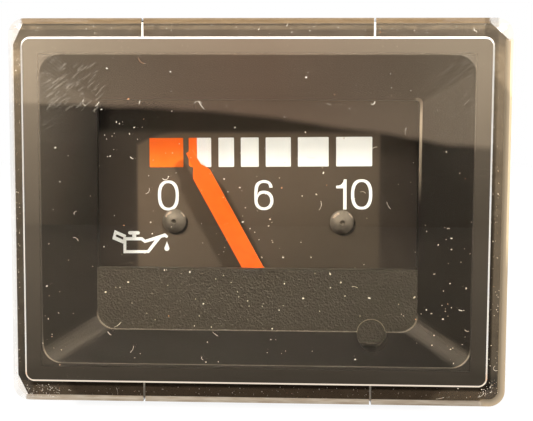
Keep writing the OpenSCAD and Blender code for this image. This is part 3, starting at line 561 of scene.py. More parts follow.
def gloss_black():
    """Gloss paint on the rivets' heads, with painted glints as highlights and a rim of painted shade at the
    lower right.
    """
    f = Finish("rivet_black")
    r, towards = round_rivet(f)

    def ring(low, high):
        return f.band(r, low - 0.05, low + 0.03, high - 0.03, high + 0.05)

    # painted highlights: pale arcs on each head
    painted_glints = f.most(*(f.times(ring(inner, outer), f.span(towards(degrees), low, high))
                    for inner, outer, degrees, low, high in GLINTS))
    painted_glints = f.times(painted_glints, f.mottled(0.25, 3, 0.0, 1.0, 0.3, 0.55))
    paint = f.mottled(0.8, 3, (0.086, 0.073, 0.056), (0.115, 0.098, 0.075), 0.35, 0.7)
    paint = f.blend(painted_glints, paint, (0.36, 0.28, 0.21))
    # painted shade: a dark rim at the lower right of each head
    rim = f.times(f.span(r, 1.70, 1.78), f.span(towards(-48), 0.20, 0.60))
    return f.dress(f.blend(rim, paint, (0.004, 0.0035, 0.003)), f.mottled(0.5, 3, 0.38, 0.50),
                   (f.noise(0.35, 2), 0.006))


def metal(name, dark, light, rough_low, rough_high, streak, stain=None):
    """Plated or bare metal: mottled, fine streaks along X, stains in patches."""
    f = Finish(name, Metallic=1.0)
    ground = f.mottled(1.6, 4, dark, light)
    if stain:
        ground = f.blend(f.span(f.noise(2.4, 5, 0.65), 0.5, 0.72), ground, stain)
    streaks = f.noise(1.0, 3, 0.6, f.stretched(0.4, 5, 5))
    return f.dress(ground, f.span(streaks, 0.3, 0.7, rough_low, rough_high), (streaks, streak),
                   (f.noise(0.18, 2), 0.002))


def windings():
    """Enamelled wire, laid turn by turn."""
    f = Finish("copper_turns", Metallic=1.0)
    turns = f.add("TexWave", {"wave_type": "BANDS", "bands_direction": "DIAGONAL"}, Scale=2.6)
    f.put(turns.inputs["Vector"], f.mm)
    copper = f.mottled(0.9, 3, (0.42, 0.13, 0.05), (0.66, 0.28, 0.12))
    return f.dress(copper, f.mottled(0.6, 2, 0.25, 0.4), (turns.outputs["Fac"], 0.06))


def lamp_glass():
    f = Finish("bulb_glass", Transmission_Weight=1.0, IOR=1.5, Roughness=0.02)
    f.colour(f.mottled(3, 2, (0.95, 0.95, 0.93), (0.99, 0.99, 0.98)))
    shadow = f.add("LightPath").outputs["Is Shadow Ray"]
    through = f.look("BsdfTransparent", Color=(0.95, 0.95, 0.94))
    f.surface(f.layer(f.shader.outputs[0], shadow, through))
    return f


FINISHES = {
    "clear_plastic": lens_plastic(),
    "seal_rubber": coated("seal_rubber", (0.02, 0.02, 0.02), (0.045, 0.043, 0.04), 2.0, 0.7, 0.85,
                          0.2, 0.01),
    "grained_plastic": grained_plastic(),
    "dial_paint": dial_black(),
    "rivet_paint": gloss_black(),
    "zinc_steel": metal("zinc_plated", (0.52, 0.52, 0.47), (0.72, 0.71, 0.66), 0.28, 0.45, 0.008,
                        (0.5, 0.42, 0.24)),
    "nylon": coated("nylon_natural", (0.72, 0.68, 0.56), (0.84, 0.80, 0.70), 3.0, 0.42, 0.55, 0.3, 0.01),
    "copper_wire": windings(),
    "brass": metal("brass_dull", (0.58, 0.40, 0.16), (0.78, 0.58, 0.27), 0.25, 0.42, 0.006,
                   (0.30, 0.19, 0.08)),
    "ferrite": coated("ferrite_dark", (0.06, 0.06, 0.065), (0.11, 0.11, 0.115), 0.5, 0.5, 0.65, 0.1, 0.01),
    "case_plastic": coated("case_black", (0.020, 0.018, 0.016), (0.036, 0.032, 0.028), 4.0, 0.38, 0.52,
                           0.35, 0.012),
    "resistor_paint": coated("resistor_lacquer", (0.42, 0.30, 0.16), (0.55, 0.42, 0.25), 1.0, 0.25, 0.4,
                             0.2, 0.01),
    "needle_paint": needle_orange(),
    "spindle_steel": metal("spindle_ground", (0.5, 0.5, 0.5), (0.66, 0.66, 0.66), 0.15, 0.25, 0.002),
    "lamp_glass": lamp_glass(),
}
for sub in frame["record"]["subparts"]:
    mesh = frame["nodes"][sub["node"]].data
    mesh.materials.clear()
    mesh.materials.append(FINISHES[sub["material_slot"]].mat)

INK_WHITE = print_ink("ink_white", (0.83, 0.86, 0.84), (0.88, 0.90, 0.88))
# the red ink's darker top is painted shade
INK_RED = print_ink("ink_red", (0.86, 0.150, 0.012), (0.92, 0.185, 0.018), (0.86, 0.128, 0.009))


# flat marks
def arc(cx, cz, rx, rz, start, end, steps=14, power=2.0):
    """Points round a (super)ellipse, angles in degrees, anticlockwise from +X."""
    made = []
    for i in range(steps + 1):
        a = (start + (end - start) * i / steps) * pi / 180
        c, s = cos(a), sin(a)
        made.append((cx + rx * abs(c) ** (2 / power) * (1 if c >= 0 else -1),
                     cz + rz * abs(s) ** (2 / power) * (1 if s >= 0 else -1)))
    return made


def ring_loop(x0, x1, z0, z1, power=2.0, steps=48):
    return arc((x0 + x1) / 2, (z0 + z1) / 2, (x1 - x0) / 2, (z1 - z0) / 2, 0, 360, steps, power)[:-1]


def box_loop(x0, x1, z0, z1, radii):
    """Rectangle with its own radius at each corner: lower left, lower right, upper right, upper left."""
    made = []
    ends = ((x0, z0, 1, 1, 180), (x1, z0, -1, 1, 270), (x1, z1, -1, -1, 0), (x0, z1, 1, -1, 90))
    for (x, z, sx, sz, start), r in zip(ends, radii):
        made += arc(x + sx * r, z + sz * r, r, r, start, start + 90, 5)
    return made


def stroke(points, width):
    """Outline of a line of that width through the points, with round ends."""
    left, right = [], []
    for i, (x, z) in enumerate(points):
        ax, az = points[max(i - 1, 0)]
        bx, bz = points[min(i + 1, len(points) - 1)]
        far = hypot(bx - ax, bz - az)
        nx, nz = -(bz - az) / far * width / 2, (bx - ax) / far * width / 2
        left.append((x + nx, z + nz))
        right.append((x - nx, z - nz))
    made = list(left)
    for (ex, ez), (fx, fz), back in ((points[-1], left[-1], right[::-1]), (points[0], right[0], [])):
        first = atan2(fz - ez, fx - ex)
        for i in range(1, 6):
            a = first - pi * i / 6
            made.append((ex + width / 2 * cos(a), ez + width / 2 * sin(a)))
        made += back
    return made


def smooth(points, steps=6):
    """Catmull-Rom curve through the points."""
    made = []
    padded = [points[0], *points, points[-1]]
    for i in range(1, len(padded) - 2):
        for j in range(steps):
            t = j / steps
            made.append(tuple(
                0.5 * (2 * b + (c - a) * t + (2 * a - 5 * b + 4 * c - d) * t * t
                       + (3 * b - a - 3 * c + d) * t ** 3)
                for a, b, c, d in zip(*padded[i - 1:i + 3])))
    return made + [points[-1]]


def add_slab(bm, loops, front, back):
    """Closed plate between two depths, in mm; the first loop is its outline, the others are holes."""
    flat = [[Vector((x, z, 0)) for x, z in loop] for loop in loops]
    points = [p for loop in flat for p in loop]
    near = [bm.verts.new((p.x * MM, front * MM, p.y * MM)) for p in points]
    far = [bm.verts.new((p.x * MM, back * MM, p.y * MM)) for p in points]
    for a, b, c in tessellate_polygon(flat):
        bm.faces.new((near[a], near[b], near[c]))
        bm.faces.new((far[c], far[b], far[a]))
    start = 0
    for loop in flat:
        n = len(loop)
        for i in range(n):
            a, b = start + i, start + (i + 1) % n
            bm.faces.new((near[a], near[b], far[b], far[a]))
        start += n


def finish_mesh(bm, name, finish, smooth_angle=None):
    """A piece of the gauge's body from the mesh; it is shaded smooth below that angle in degrees."""
    bmesh.ops.recalc_face_normals(bm, faces=bm.faces)
    mesh = bpy.data.meshes.new(name)
    bm.to_mesh(mesh)
    bm.free()
    mesh.materials.append(finish.mat)
    if smooth_angle is not None:
        for face in mesh.polygons:
            face.use_smooth = True
        mesh.set_sharp_from_angle(angle=smooth_angle * pi / 180)
    piece = bpy.data.objects.new(name, mesh)
    scene.collection.objects.link(piece)
    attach(piece, "gauge")


PRINT_T, PRINT_IN = 0.03, 0.005  # how far the marks stand out of the dial, and into it
ASKEW = 0.010  # turn of the print on the dial, in radians


def print_marks(name, plates, finish, tilt=ASKEW, lift=0.0):
    """Printed marks on the dial's face, a little askew; each plate is a list of loops."""
    bm = bmesh.new()
    for loops in plates:
        set_askew = [[(x - tilt * z, z + tilt * x + lift) for x, z in loop] for loop in loops]
        add_slab(bm, set_askew, DIAL_Y - PRINT_T, DIAL_Y + PRINT_IN)
    finish_mesh(bm, name, finish)


# scale blocks
BLOCK_LOW, BLOCK_TOP, BLOCK_R = 6.28, 10.69, 0.12
SHARP, WORN = 0.001, 0.45  # radii of corners at the seam, and of the second block's worn one
RED_FROM, RED_TO, SECOND_FROM, SECOND_TO = -16.38, -11.26, -10.42, -7.03
SEAM_X = -9.17  # where the second block turns from orange to white
WHITES = ((-5.92, -3.57), (-2.54, 0.16), (1.21, 5.00), (6.06, 10.68), (11.80, 17.20))


def block(x0, x1, radii=(BLOCK_R,) * 4):
    return [box_loop(x0, x1, BLOCK_LOW, BLOCK_TOP, radii)]


REDS = [block(RED_FROM, RED_TO), block(SECOND_FROM, SEAM_X, (WORN, SHARP, SHARP, BLOCK_R))]
SECOND_WHITE = block(SEAM_X, SECOND_TO, (SHARP, BLOCK_R, BLOCK_R, SHARP))
print_marks("scale_red", REDS, INK_RED)
print_marks("scale_white", [SECOND_WHITE] + [block(x0, x1) for x0, x1 in WHITES], INK_WHITE)

# figures
FIG_LOW, FIG_TOP = -0.27, 4.27
PEN, PEN_END = 0.47, 0.39  # width of the strokes, at the sides and at the ends of a bowl


def nought(x0, x1):
    return [ring_loop(x0, x1, FIG_LOW, FIG_TOP, 2.5),
            ring_loop(x0 + PEN, x1 - PEN, FIG_LOW + PEN_END, FIG_TOP - PEN_END, 2.3)]


def six(x0, x1):
    """Bowl and hooked stem, as one outline with the bowl's hole."""
    bowl_top = 2.66
    cx, mid = (x0 + x1) / 2, (FIG_LOW + bowl_top) / 2
    bowl = arc(cx, mid, (x1 - x0) / 2, (bowl_top - FIG_LOW) / 2, -180, 118, 34, 2.2)
    hook_in = [(x0 + 0.45, 1.95), (x0 + 0.48, 2.60), (x0 + 0.60, 3.25), (x0 + 0.90, 3.70),
               (cx + 0.02, FIG_TOP - 0.41), (x1 - 0.80, 3.68), (x1 - 0.60, 3.12)]
    hook_out = [(x1 - 0.13, 3.10), (x1 - 0.20, 3.55), (x1 - 0.62, 4.06), (cx + 0.02, FIG_TOP),
                (x0 + 0.55, 4.00), (x0 + 0.13, 3.42), (x0 + 0.01, 2.60), (x0, 1.6)]
    hole = ring_loop(x0 + PEN, x1 - PEN, FIG_LOW + 0.40, bowl_top - 0.43, 2.1, 36)
    return [bowl + smooth(hook_in, 5) + smooth(hook_out, 5), hole]


def one(x_stem, stem_w):
    """Upright with a curved flag to the left."""
    flag_x, flag_low, flag_top = x_stem - 1.06, 2.93, 3.32
    flag = smooth([(flag_x, flag_top), (x_stem - 0.45, flag_top + 0.10), (x_stem - 0.05, flag_top + 0.50),
                   (x_stem + 0.10, FIG_TOP)], 6)
    return [flag + [(x_stem + stem_w, FIG_TOP), (x_stem + stem_w, FIG_LOW), (x_stem, FIG_LOW),
                    (x_stem, flag_low), (flag_x, flag_low)]]


print_marks("figure_0", [nought(-15.20, -12.02)], INK_WHITE)
print_marks("figure_6", [six(-0.53, 2.34)], INK_WHITE)
print_marks("figure_10", [one(12.87, 0.50), nought(14.04, 17.22)], INK_WHITE, lift=0.05)


# oil can
def oil_can():
    body = [(-20.56, -4.56), (-17.67, -4.53), (-17.21, -4.93), (-14.15, -3.92), (-13.67, -4.34),
            (-13.87, -4.64), (-14.22, -4.46), (-14.78, -4.62), (-16.62, -6.95), (-20.55, -7.02)]
    hole = [(-20.10, -5.04), (-17.83, -5.02), (-17.27, -5.42), (-15.72, -4.98), (-16.88, -6.52),
            (-20.12, -6.55)]
    handle = [(-21.88, -3.47), (-22.25, -4.85), (-20.60, -5.54), (-20.12, -4.24)]
    handle_slot = stroke([on_plane(px, py, DIAL_Y) for px, py in HANDLE_SLOT_PX], 0.36)
    cap = stroke([(-19.55, -3.88), (-18.29, -3.88)], 0.52)
    stem = box_loop(-19.18, -18.58, -4.60, -4.05, (0.02,) * 4)
    drop = [(-13.87, -5.13)] + arc(-13.88, -6.22, 0.38, 0.38, 35, -215, 16)
    return [[body, hole], [handle, handle_slot], [cap], [stem], [drop]]


print_marks("oil_can", oil_can(), INK_WHITE, tilt=0.0)


# sawn faces of the cover's slits, white with light
def slit_faces():
    bm = bmesh.new()
    for x in (-SLIT_X, SLIT_X):
        for low, high in ((LENS_Z + 0.12, FLANGE_TOP - 0.62), (FLANGE_LOW + 0.55, -LENS_Z - 0.12)):
            loop = box_loop(x - SLIT_W / 2, x + SLIT_W / 2, low, high, (0.02,) * 4)
            add_slab(bm, [loop], 0.01, SLIT_DEEP)
    f = coated("sawn_edge", (0.92, 0.89, 0.83), (1.0, 0.98, 0.95), 0.6, 0.5, 0.7, 0.15, 0.01)
    finish_mesh(bm, "slit_faces", f)


# dust and fibres on the pane and on the flange
DUST_T = 0.01
DUST_Y = LENS_Y + 0.012  # front of the dust on the pane, just inside its face
FLANGE_DUST_Y = -0.014  # and of that on the flange
# specks: least size in mm, how much larger at most, and the power that makes large ones rare
PANE_SPECK, FLANGE_SPECK = (0.042, 0.075, 3), (0.022, 0.050, 2)
# widths of the fibres, in mm
THIN_FIBRE, PANE_FIBRE, FLANGE_FIBRE, HAIRLINE = 0.045, 0.085, 0.07, 0.06
# patches of specks: left, top, right and bottom in pixels of the frame, and how many
PANE_PATCHES_PX = ((28, 46, 488, 376, 150), (425, 215, 486, 365, 30), (200, 170, 285, 262, 30),
                   (105, 268, 415, 330, 18), (26, 285, 60, 372, 22), (100, 100, 150, 150, 14))
FLANGE_PATCHES_PX = ((15, 55, 20, 374, 90), (25, 384, 60, 397, 110), (60, 387, 478, 398, 140),
                     (489, 60, 499, 390, 90), (28, 24, 486, 34, 90), (478, 382, 498, 396, 40))
# the fibres that stand out: start in pixels, length in mm, direction and curl in radians
PANE_FIBRES_PX = ((95.5, 106, 0.75, 0.7, 0.3), (139, 104, 0.45, 1.2, 0.2), (199, 101.5, 1.25, -1.15, 0.5),
                  (162.5, 178.5, 1.15, -0.6, 2.6), (130.5, 157, 0.45, -0.9, 0.9), (108, 332, 0.6, -1.0, 0.6),
                  (459, 310, 0.45, -0.3, 0.2), (465, 330, 0.55, -0.8, 1.2), (371, 104, 0.7, -0.3, 2.2))
FLANGE_FIBRES_PX = ((495, 366, 1.2, -2.3, 3.2), (478, 397, 1.1, 0.2, 1.1), (490, 388, 0.7, 1.4, -1.6),
                    (436, 399, 1.2, 0.1, 0.3), (116.5, 388, 1.0, -1.2, -0.5), (474, 29, 0.5, -1.2, 1.4),
                    (30, 393, 0.6, -0.9, 1.0), (56, 392, 0.5, -0.5, 0.8))
# hairlines at the pane's upper corners: left end, width of the patch and how many
HAIRLINES_PX = ((46, 56, 70), (462, 24, 8))
HAIRLINE_TOP_PX, HAIRLINE_TALL_PX = 66, 46


def dust_finish():
    f = Finish("dust_pale", Specular_IOR_Level=0.1, Roughness=0.9)
    pale = f.mottled(1.1, 2, (0.45, 0.40, 0.32), (1.0, 0.95, 0.86), 0.35, 0.65)
    f.colour(f.blend(f.mottled(2.1, 1, 0.0, 1.0, 0.62, 0.66), pale, (0.60, 0.30, 0.16)))
    return f


DUST = dust_finish()


def speck(px, py, size, rng, y):
    x, z = on_plane(px, py, y)
    corners = rng.choice((5, 6, 7))
    long, turn = 1 + 0.8 * rng.random(), rng.random() * pi
    loop = []
    for i in range(corners):
        a = 2 * pi * i / corners
        r = size * (0.75 + 0.5 * rng.random())
        dx, dz = r * long * cos(a), r * sin(a)
        loop.append((x + dx * cos(turn) - dz * sin(turn), z + dx * sin(turn) + dz * cos(turn)))
    return loop


def scatter(bm, rng, patches, least, more, power, y, front):
    """Specks with sizes from least to least + more, placed as the frame shows them on the plane y."""
    for x0, y0, x1, y1, count in patches:
        for _ in range(count):
            size = least + more * rng.random() ** power
            px = x0 + (x1 - x0) * rng.random()
            py = y0 + (y1 - y0) * rng.random()
            add_slab(bm, [speck(px, py, size, rng, y)], front, front + DUST_T)


def add_fibre(bm, px, py, length, turn, curl, width, y, front):
    """A bent hair, starting at the frame's pixel; angles in radians, length in mm."""
    points = [on_plane(px, py, y)]
    for _ in range(4):
        x, z = points[-1]
        points.append((x + length / 4 * cos(turn), z + length / 4 * sin(turn)))
        turn += curl / 4
    add_slab(bm, [stroke(smooth(points, 3), width)], front, front + DUST_T)


def dust_on_pane():
    rng = random.Random(11)
    bm = bmesh.new()
    scatter(bm, rng, PANE_PATCHES_PX, *PANE_SPECK, LENS_Y, DUST_Y)
    for _ in range(20):
        px, py = 60 + 400 * rng.random(), 60 + 300 * rng.random()
        length, turn, curl = 0.5 + 0.9 * rng.random(), rng.random() * 2 * pi, (rng.random() - 0.5) * 4
        add_fibre(bm, px, py, length, turn, curl, THIN_FIBRE, LENS_Y, DUST_Y)
    for fibre in PANE_FIBRES_PX:
        add_fibre(bm, *fibre, PANE_FIBRE, LENS_Y, DUST_Y)
    finish_mesh(bm, "pane_dust", DUST)


def hairlines():
    """Faint parallel scratches left by wiping, at the upper corners of the pane."""
    rng = random.Random(3)
    bm = bmesh.new()
    for x0, wide, count in HAIRLINES_PX:
        for _ in range(count):
            px = x0 + wide * rng.random() ** 1.2
            py = HAIRLINE_TOP_PX + HAIRLINE_TALL_PX * rng.random() ** 0.8
            length, turn = 0.5 + 1.1 * rng.random() ** 2, 0.60 + 0.16 * rng.random()
            add_fibre(bm, px, py, length, turn, 0.0, HAIRLINE, LENS_Y, DUST_Y)
    f = Finish("hairline", Specular_IOR_Level=0.1, Roughness=0.8, Alpha=0.12)
    f.colour(f.mottled(1.1, 2, (0.55, 0.49, 0.40), (1.0, 0.94, 0.84), 0.35, 0.65))
    finish_mesh(bm, "pane_hairlines", f)


def dust_on_flange():
    """Fine dirt on the flange, caught along its sides and in its corners."""
    rng = random.Random(5)
    bm = bmesh.new()
    scatter(bm, rng, FLANGE_PATCHES_PX, *FLANGE_SPECK, 0.0, FLANGE_DUST_Y)
    for fibre in FLANGE_FIBRES_PX:
        add_fibre(bm, *fibre, FLANGE_FIBRE, 0.0, FLANGE_DUST_Y)
    finish_mesh(bm, "flange_dust", DUST)


slit_faces()
dust_on_pane()
hairlines()
dust_on_flange()


# ring at the edge that the moulding pin left on the strip, pale as a painted highlight where the edge would
# catch the light
def pin_ring():
    cx, cz = on_plane(*PIN_PX, STRIP_Y)
    bm = bmesh.new()
    for start, end in ((10, 178), (290, 335)):
        line = stroke(arc(cx, cz, PIN_R, PIN_R, start, end, 26), 0.09)
        add_slab(bm, [line], STRIP_Y - 0.04, STRIP_Y + 0.01)
    f = coated("ring_edge", (0.10, 0.085, 0.062), (0.16, 0.14, 0.105), 0.8, 0.3, 0.4, 0.2, 0.01)
    finish_mesh(bm, "pin_ring", f)


pin_ring()

# threads on the free ends of the studs
THREAD_FROM, THREAD_TO, THREAD_PITCH = 39.1, 45.35, 0.7
ROOT_R, CREST = 1.97, 0.13  # the ridge stands on the smooth stud
ROOT_HALF, CREST_HALF = 0.27, 0.05  # half widths of the ridge at its root and its crest
STEPS_PER_TURN = 28


def stud_threads():
    """A ridge wound round each stud, which runs out within half a turn at both ends."""
    bm = bmesh.new()
    turns = (THREAD_TO - THREAD_FROM) / THREAD_PITCH
    steps = round(turns * STEPS_PER_TURN)
    for x in (-STUD_X, STUD_X):
        rings = []
        for i in range(steps + 1):
            done = turns * i / steps
            a, y = 2 * pi * done, THREAD_FROM + THREAD_PITCH * done
            top = ROOT_R + max(0.01, CREST * min(1.0, 2 * done, 2 * (turns - done)))
            profile = ((-ROOT_HALF, ROOT_R), (-CREST_HALF, top), (CREST_HALF, top), (ROOT_HALF, ROOT_R))
            rings.append([bm.verts.new(((x + r * cos(a)) * MM, (y + dy) * MM, (STUD_Z + r * sin(a)) * MM))
                          for dy, r in profile])
        for near, far in zip(rings, rings[1:]):
            for k in range(4):
                n = (k + 1) % 4
                bm.faces.new((near[k], near[n], far[n], far[k]))
        bm.faces.new(rings[0])
        bm.faces.new(rings[-1][::-1])
    finish_mesh(bm, "stud_threads", FINISHES["zinc_steel"], smooth_angle=40)


stud_threads()

# softened edges, which catch the light: widths in mm
EDGES = {"front_mask": 0.20, "rear_case": 0.15, "lamp_holder": 0.12, "stud_nuts": 0.10, "stud_washers": 0.05,
         "shield_can": 0.12, "supply_terminal": 0.06, "sender_terminal": 0.06, "needle": 0.03}
EDGE_ANGLE = 0.6  # in radians
for node, width in EDGES.items():
    bevel = frame["nodes"][node].modifiers.new("edges", "BEVEL")
    bevel.width = width * MM
    bevel.segments = 2
    bevel.limit_method = "ANGLE"
    bevel.angle_limit = EDGE_ANGLE


# room: floor, backdrop and light, with places in metres
WARM = (1.0, 0.955, 0.90)
FILL_LEVEL = 0.05
LAMP_RADIANCE, LAMP_SIDE, LAMP_FAR = 430.0, 0.08, 0.75
# the two lamps, whose light the window's walls cut off on the dial: how far they stand aside and up
# for each unit forward, and their level
LAMP_X = 1.33
LAMPS = (("lamp_left", -LAMP_X, 1.67, 1.0), ("lamp_right", LAMP_X, 1.18, 1.18))
FRONT_AT, FRONT_WIDE, FRONT_HIGH, FRONT_RADIANCE = (0.0, -0.55, 0.28), 0.5, 0.3, 0.25
REAR_X, REAR_Y, REAR_Z, REAR_SIDE, REAR_RADIANCE = 0.55, 0.70, 0.50, 0.3, 11.0
MIDDLE, CASE_MIDDLE = (0, 0, 0), (0, 0.03, 0)  # what the lamps face
FLOOR_HALF, FLOOR_DROP = 4.0, 0.00002
FLOOR_GLOW = 0.92  # share of the floor's look that is its own light


def world_light():
    """White as seen, and a weak fill for the object."""
    world = bpy.data.worlds.new("room")
    scene.world = world
    world.use_nodes = True
    room = Nodes(world.node_tree)
    fill = room.look("Background", Color=(1.0, 0.96, 0.92), Strength=FILL_LEVEL)
    white = room.look("Background", Color=(1, 1, 1), Strength=1.0)
    out = room.add("OutputWorld")
    room.put(out.inputs["Surface"], room.layer(fill, room.seen_directly(), white))


def plane_object(name, corners, mat):
    mesh = bpy.data.meshes.new(name)
    mesh.from_pydata([Vector(c) for c in corners], [], [(0, 1, 2, 3)])
    mesh.materials.append(mat)
    made = bpy.data.objects.new(name, mesh)
    scene.collection.objects.link(made)
    return made


def level_corners(half, near, far, z):
    return [(-half, near, z), (half, near, z), (half, far, z), (-half, far, z)]


def floor():
    """Pale floor: near white as seen, with the object's shadow kept."""
    f = Finish("floor_white")
    # the white paper, and a darker bounce of it for the object
    bounced = f.add("LightPath").outputs["Is Diffuse Ray"]
    paper = f.look("BsdfDiffuse", Color=f.blend(bounced, (0.88, 0.87, 0.85), (0.13, 0.125, 0.12)))
    # a little brighter far away, where the lamps don't reach
    away = f.add("VectorMath", {"operation": "LENGTH"})
    f.put(away.inputs[0], f.mm)
    glow = f.look("Emission", Strength=f.span(away.outputs["Value"], 160, 600, 1.0, 1.085))
    f.surface(f.layer(paper, f.times(f.seen_directly(), FLOOR_GLOW), glow))
    corners = level_corners(FLOOR_HALF, -FLOOR_HALF, FLOOR_HALF, cad_low.z - FLOOR_DROP)
    plane_object("floor", corners, f.mat)


def soft_box(name, at, look, wide, high, radiance):
    """Area lamp of that size in metres, facing a point; radiance as it would be seen."""
    data = bpy.data.lights.new(name, "AREA")
    data.shape = "RECTANGLE"
    data.size, data.size_y = wide, high
    data.energy = radiance * wide * high * pi
    data.color = WARM
    lamp = bpy.data.objects.new(name, data)
    scene.collection.objects.link(lamp)
    lamp.location = at
    lamp.rotation_mode = "QUATERNION"
    lamp.rotation_quaternion = (Vector(look) - Vector(at)).to_track_quat("-Z", "Y")
    lamp.visible_camera = False
    return lamp


def lamps():
    """Two high at the sides, a soft one above the camera, and two behind for the rear of the case."""
    for name, x, z, level in LAMPS:
        aim = Vector((x, -1.0, z))
        # brighter the more aslant it stands, so that the dial gets the same light
        radiance = LAMP_RADIANCE * aim.length / 2.0 * level
        lamp = soft_box(name, aim.normalized() * LAMP_FAR, MIDDLE, LAMP_SIDE, LAMP_SIDE, radiance)
        lamp.visible_glossy = False
    soft = soft_box("lamp_front", FRONT_AT, MIDDLE, FRONT_WIDE, FRONT_HIGH, FRONT_RADIANCE)
    soft.visible_glossy = False
    for name, x in (("lamp_rear_left", -REAR_X), ("lamp_rear_right", REAR_X)):
        soft_box(name, (x, REAR_Y, REAR_Z), CASE_MIDDLE, REAR_SIDE, REAR_SIDE, REAR_RADIANCE)


lamps()
world_light()
floor()

# what the gloss mirrors, in millimetres
CARD_Y = -330.0  # where the room's front wall stands
FLOOR_Z = cad_low.z / MM
CLOTH_Z = FLOOR_Z + 0.01  # cloths on the floor
ROOM_X, ROOM_TOP = 900, 780
CLOTH_HALF, NEAR_HALF = 1200, 60
# on the front wall, across from its middle or up: where a change begins and where it's done
MIDDLE_X, SHEET_X, PANEL_OUT_X = (10, 110), (190, 280), (360, 420)
PANEL_IN, PANEL_FULL = 150, 210
SHEEN_Z, SHEEN_END_Z, PANEL_LOW_Z, PANEL_TOP_Z = (55, 85), (400, 560), (-110, 20), (250, 350)
BOW_X, BOW_HALF, BOW_RISE = -8.0, 110.0, 5.2  # the bow of the sheet's lower edge
CARD_X, CARD_TALL = 1.2, 0.8  # half sizes of the card, in metres
SHEET_LEVEL, SHEEN_LEVEL, PATCH_LEVEL = 2.0, 5.0, 12.0
PANEL_LEFT, PANEL_RIGHT = 9.5, 3.0
PATCH_Z = 1.11  # how far up the lamps' patches stand for each unit forward
DARK_LEVEL = 0.02


def only_mirrored(f, made):
    """Lets a card be seen in reflections only, also in those behind the clear cover."""
    made.visible_camera = made.visible_diffuse = False
    made.visible_shadow = made.visible_volume_scatter = False
    bounced = f.over(f.add("LightPath").outputs["Glossy Depth"], 0.5)
    own = f.out.inputs["Surface"].links[0].from_socket
    f.surface(f.layer(f.look("BsdfTransparent"), bounced, own))


def mirrored_edge():
    """Ends of the bright sheet's lower edge on the room's front wall, in metres."""
    reach = (LENS_Y - CARD_Y) / (LENS_Y - CAM_AT.y)
    ends = []
    for px, py in SHEET_EDGE_PX:
        x, z = on_plane(px, py, LENS_Y)
        ends.append(Vector((CAM_AT.x + (x - CAM_AT.x) * (1 + reach), CARD_Y,
                            CAM_AT.z + (z - CAM_AT.z) * (1 + reach))) * MM)
    return ends


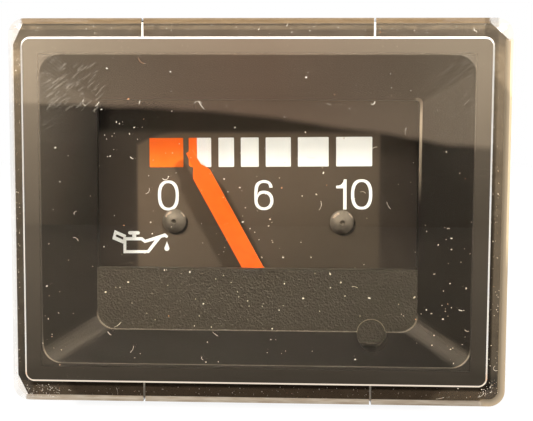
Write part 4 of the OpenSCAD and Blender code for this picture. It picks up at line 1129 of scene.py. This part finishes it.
def room_wall():
    """What the pane mirrors: a bright warm sheet above the camera in a dark room."""
    left, right = mirrored_edge()
    slope = atan2(right.z - left.z, right.x - left.x)
    f = Finish("room_wall")
    across, height, aside = f.x, f.z, f.size(f.x)
    # its lower edge, bowed up in the middle
    off_middle = f.calc("POWER", f.calc("DIVIDE", f.minus(across, BOW_X), BOW_HALF), 2)
    bow = f.times(f.most(f.minus(1.0, off_middle), 0.0), BOW_RISE)
    low = f.span(f.minus(f.plus(height, f.times(f.noise(30, 1), 3.0)), bow), -1.0, 4.0, smooth=True)
    # brighter above what the pane mirrors: the source of the frame's sheen
    high = f.plus(f.span(height, *SHEEN_Z, 1.0, SHEEN_LEVEL, True),
                  f.span(height, *SHEEN_END_Z, 0.0, -SHEEN_LEVEL, True))
    uneven = f.times(f.mottled(120, 2, 0.85, 1.15), f.span(aside, *MIDDLE_X, 0.96, 1.05),
                     f.span(across, -150, 150, 1.15, 0.79))
    sheet = f.times(low, high, uneven, f.fall(aside, *SHEET_X, True))
    glow = f.times(f.span(across, -120, -75, 0.35, 0.0, True), f.span(height, -130, -10, smooth=True))
    # where the two lamps stand, as gloss sees them
    from_lamp = f.reach(f.minus(aside, LAMP_X * -CARD_Y), f.minus(height, PATCH_Z * -CARD_Y))
    patch = f.times(f.span(from_lamp, 40, 75, PATCH_LEVEL, 0.0, True), f.span(across, -1, 1, 0.55, 1.0))
    # panels at the sides, outside what the pane mirrors, for the sheen of the frame
    panels = f.plus(f.span(across, -PANEL_FULL, -PANEL_IN, PANEL_LEFT, 0.0, True),
                    f.span(across, PANEL_IN, PANEL_FULL, 0.0, PANEL_RIGHT, True))
    panels = f.times(panels, f.fall(aside, *PANEL_OUT_X, True), f.span(height, *PANEL_LOW_Z, smooth=True),
                     f.fall(height, *PANEL_TOP_Z, True))
    warm = f.blend(f.span(aside, *MIDDLE_X), (1.0, 0.66, 0.44), (1.0, 0.77, 0.53))
    warm = f.blend(f.span(height, *SHEEN_Z), warm, (1.0, 0.80, 0.56))
    level = f.times(f.most(sheet, glow, patch, panels, DARK_LEVEL), SHEET_LEVEL)
    f.surface(f.look("Emission", Color=warm, Strength=level))
    corners = [(-CARD_X, 0, -CARD_TALL), (CARD_X, 0, -CARD_TALL), (CARD_X, 0, CARD_TALL),
               (-CARD_X, 0, CARD_TALL)]
    card = plane_object("room_wall", corners, f.mat)
    card.matrix_world = Matrix.Translation((left + right) / 2) @ Matrix.Rotation(-slope, 4, "Y")
    only_mirrored(f, card)


def dark_cloth(name, corners, glow=None):
    """A dark cloth that only reflections see; glow is its own colour of light, if any."""
    f = Finish(name)
    if glow:
        f.put(f.shader.inputs["Emission Color"], glow)
        f.put(f.shader.inputs["Emission Strength"], 1.0)
    f.dress(f.blend(f.noise(60, 2), (0.010, 0.009, 0.008), (0.02, 0.017, 0.014)), f.mottled(20, 2, 0.8, 0.9))
    only_mirrored(f, plane_object(name, [Vector(c) * MM for c in corners], f.mat))


room_wall()
dark_cloth("cloth_floor", level_corners(CLOTH_HALF, CARD_Y, LENS_Y - 2, CLOTH_Z))
dark_cloth("cloth_above", level_corners(CLOTH_HALF, CARD_Y, 300, ROOM_TOP))
dark_cloth("cloth_near", level_corners(NEAR_HALF, LENS_Y - 2, -0.4, CLOTH_Z), (0.85, 0.55, 0.33))
for name, x in (("cloth_left", -ROOM_X), ("cloth_right", ROOM_X)):
    dark_cloth(name, [(x, CARD_Y, FLOOR_Z), (x, -1, FLOOR_Z), (x, -1, ROOM_TOP), (x, CARD_Y, ROOM_TOP)])

scene.view_settings.view_transform = "Standard"
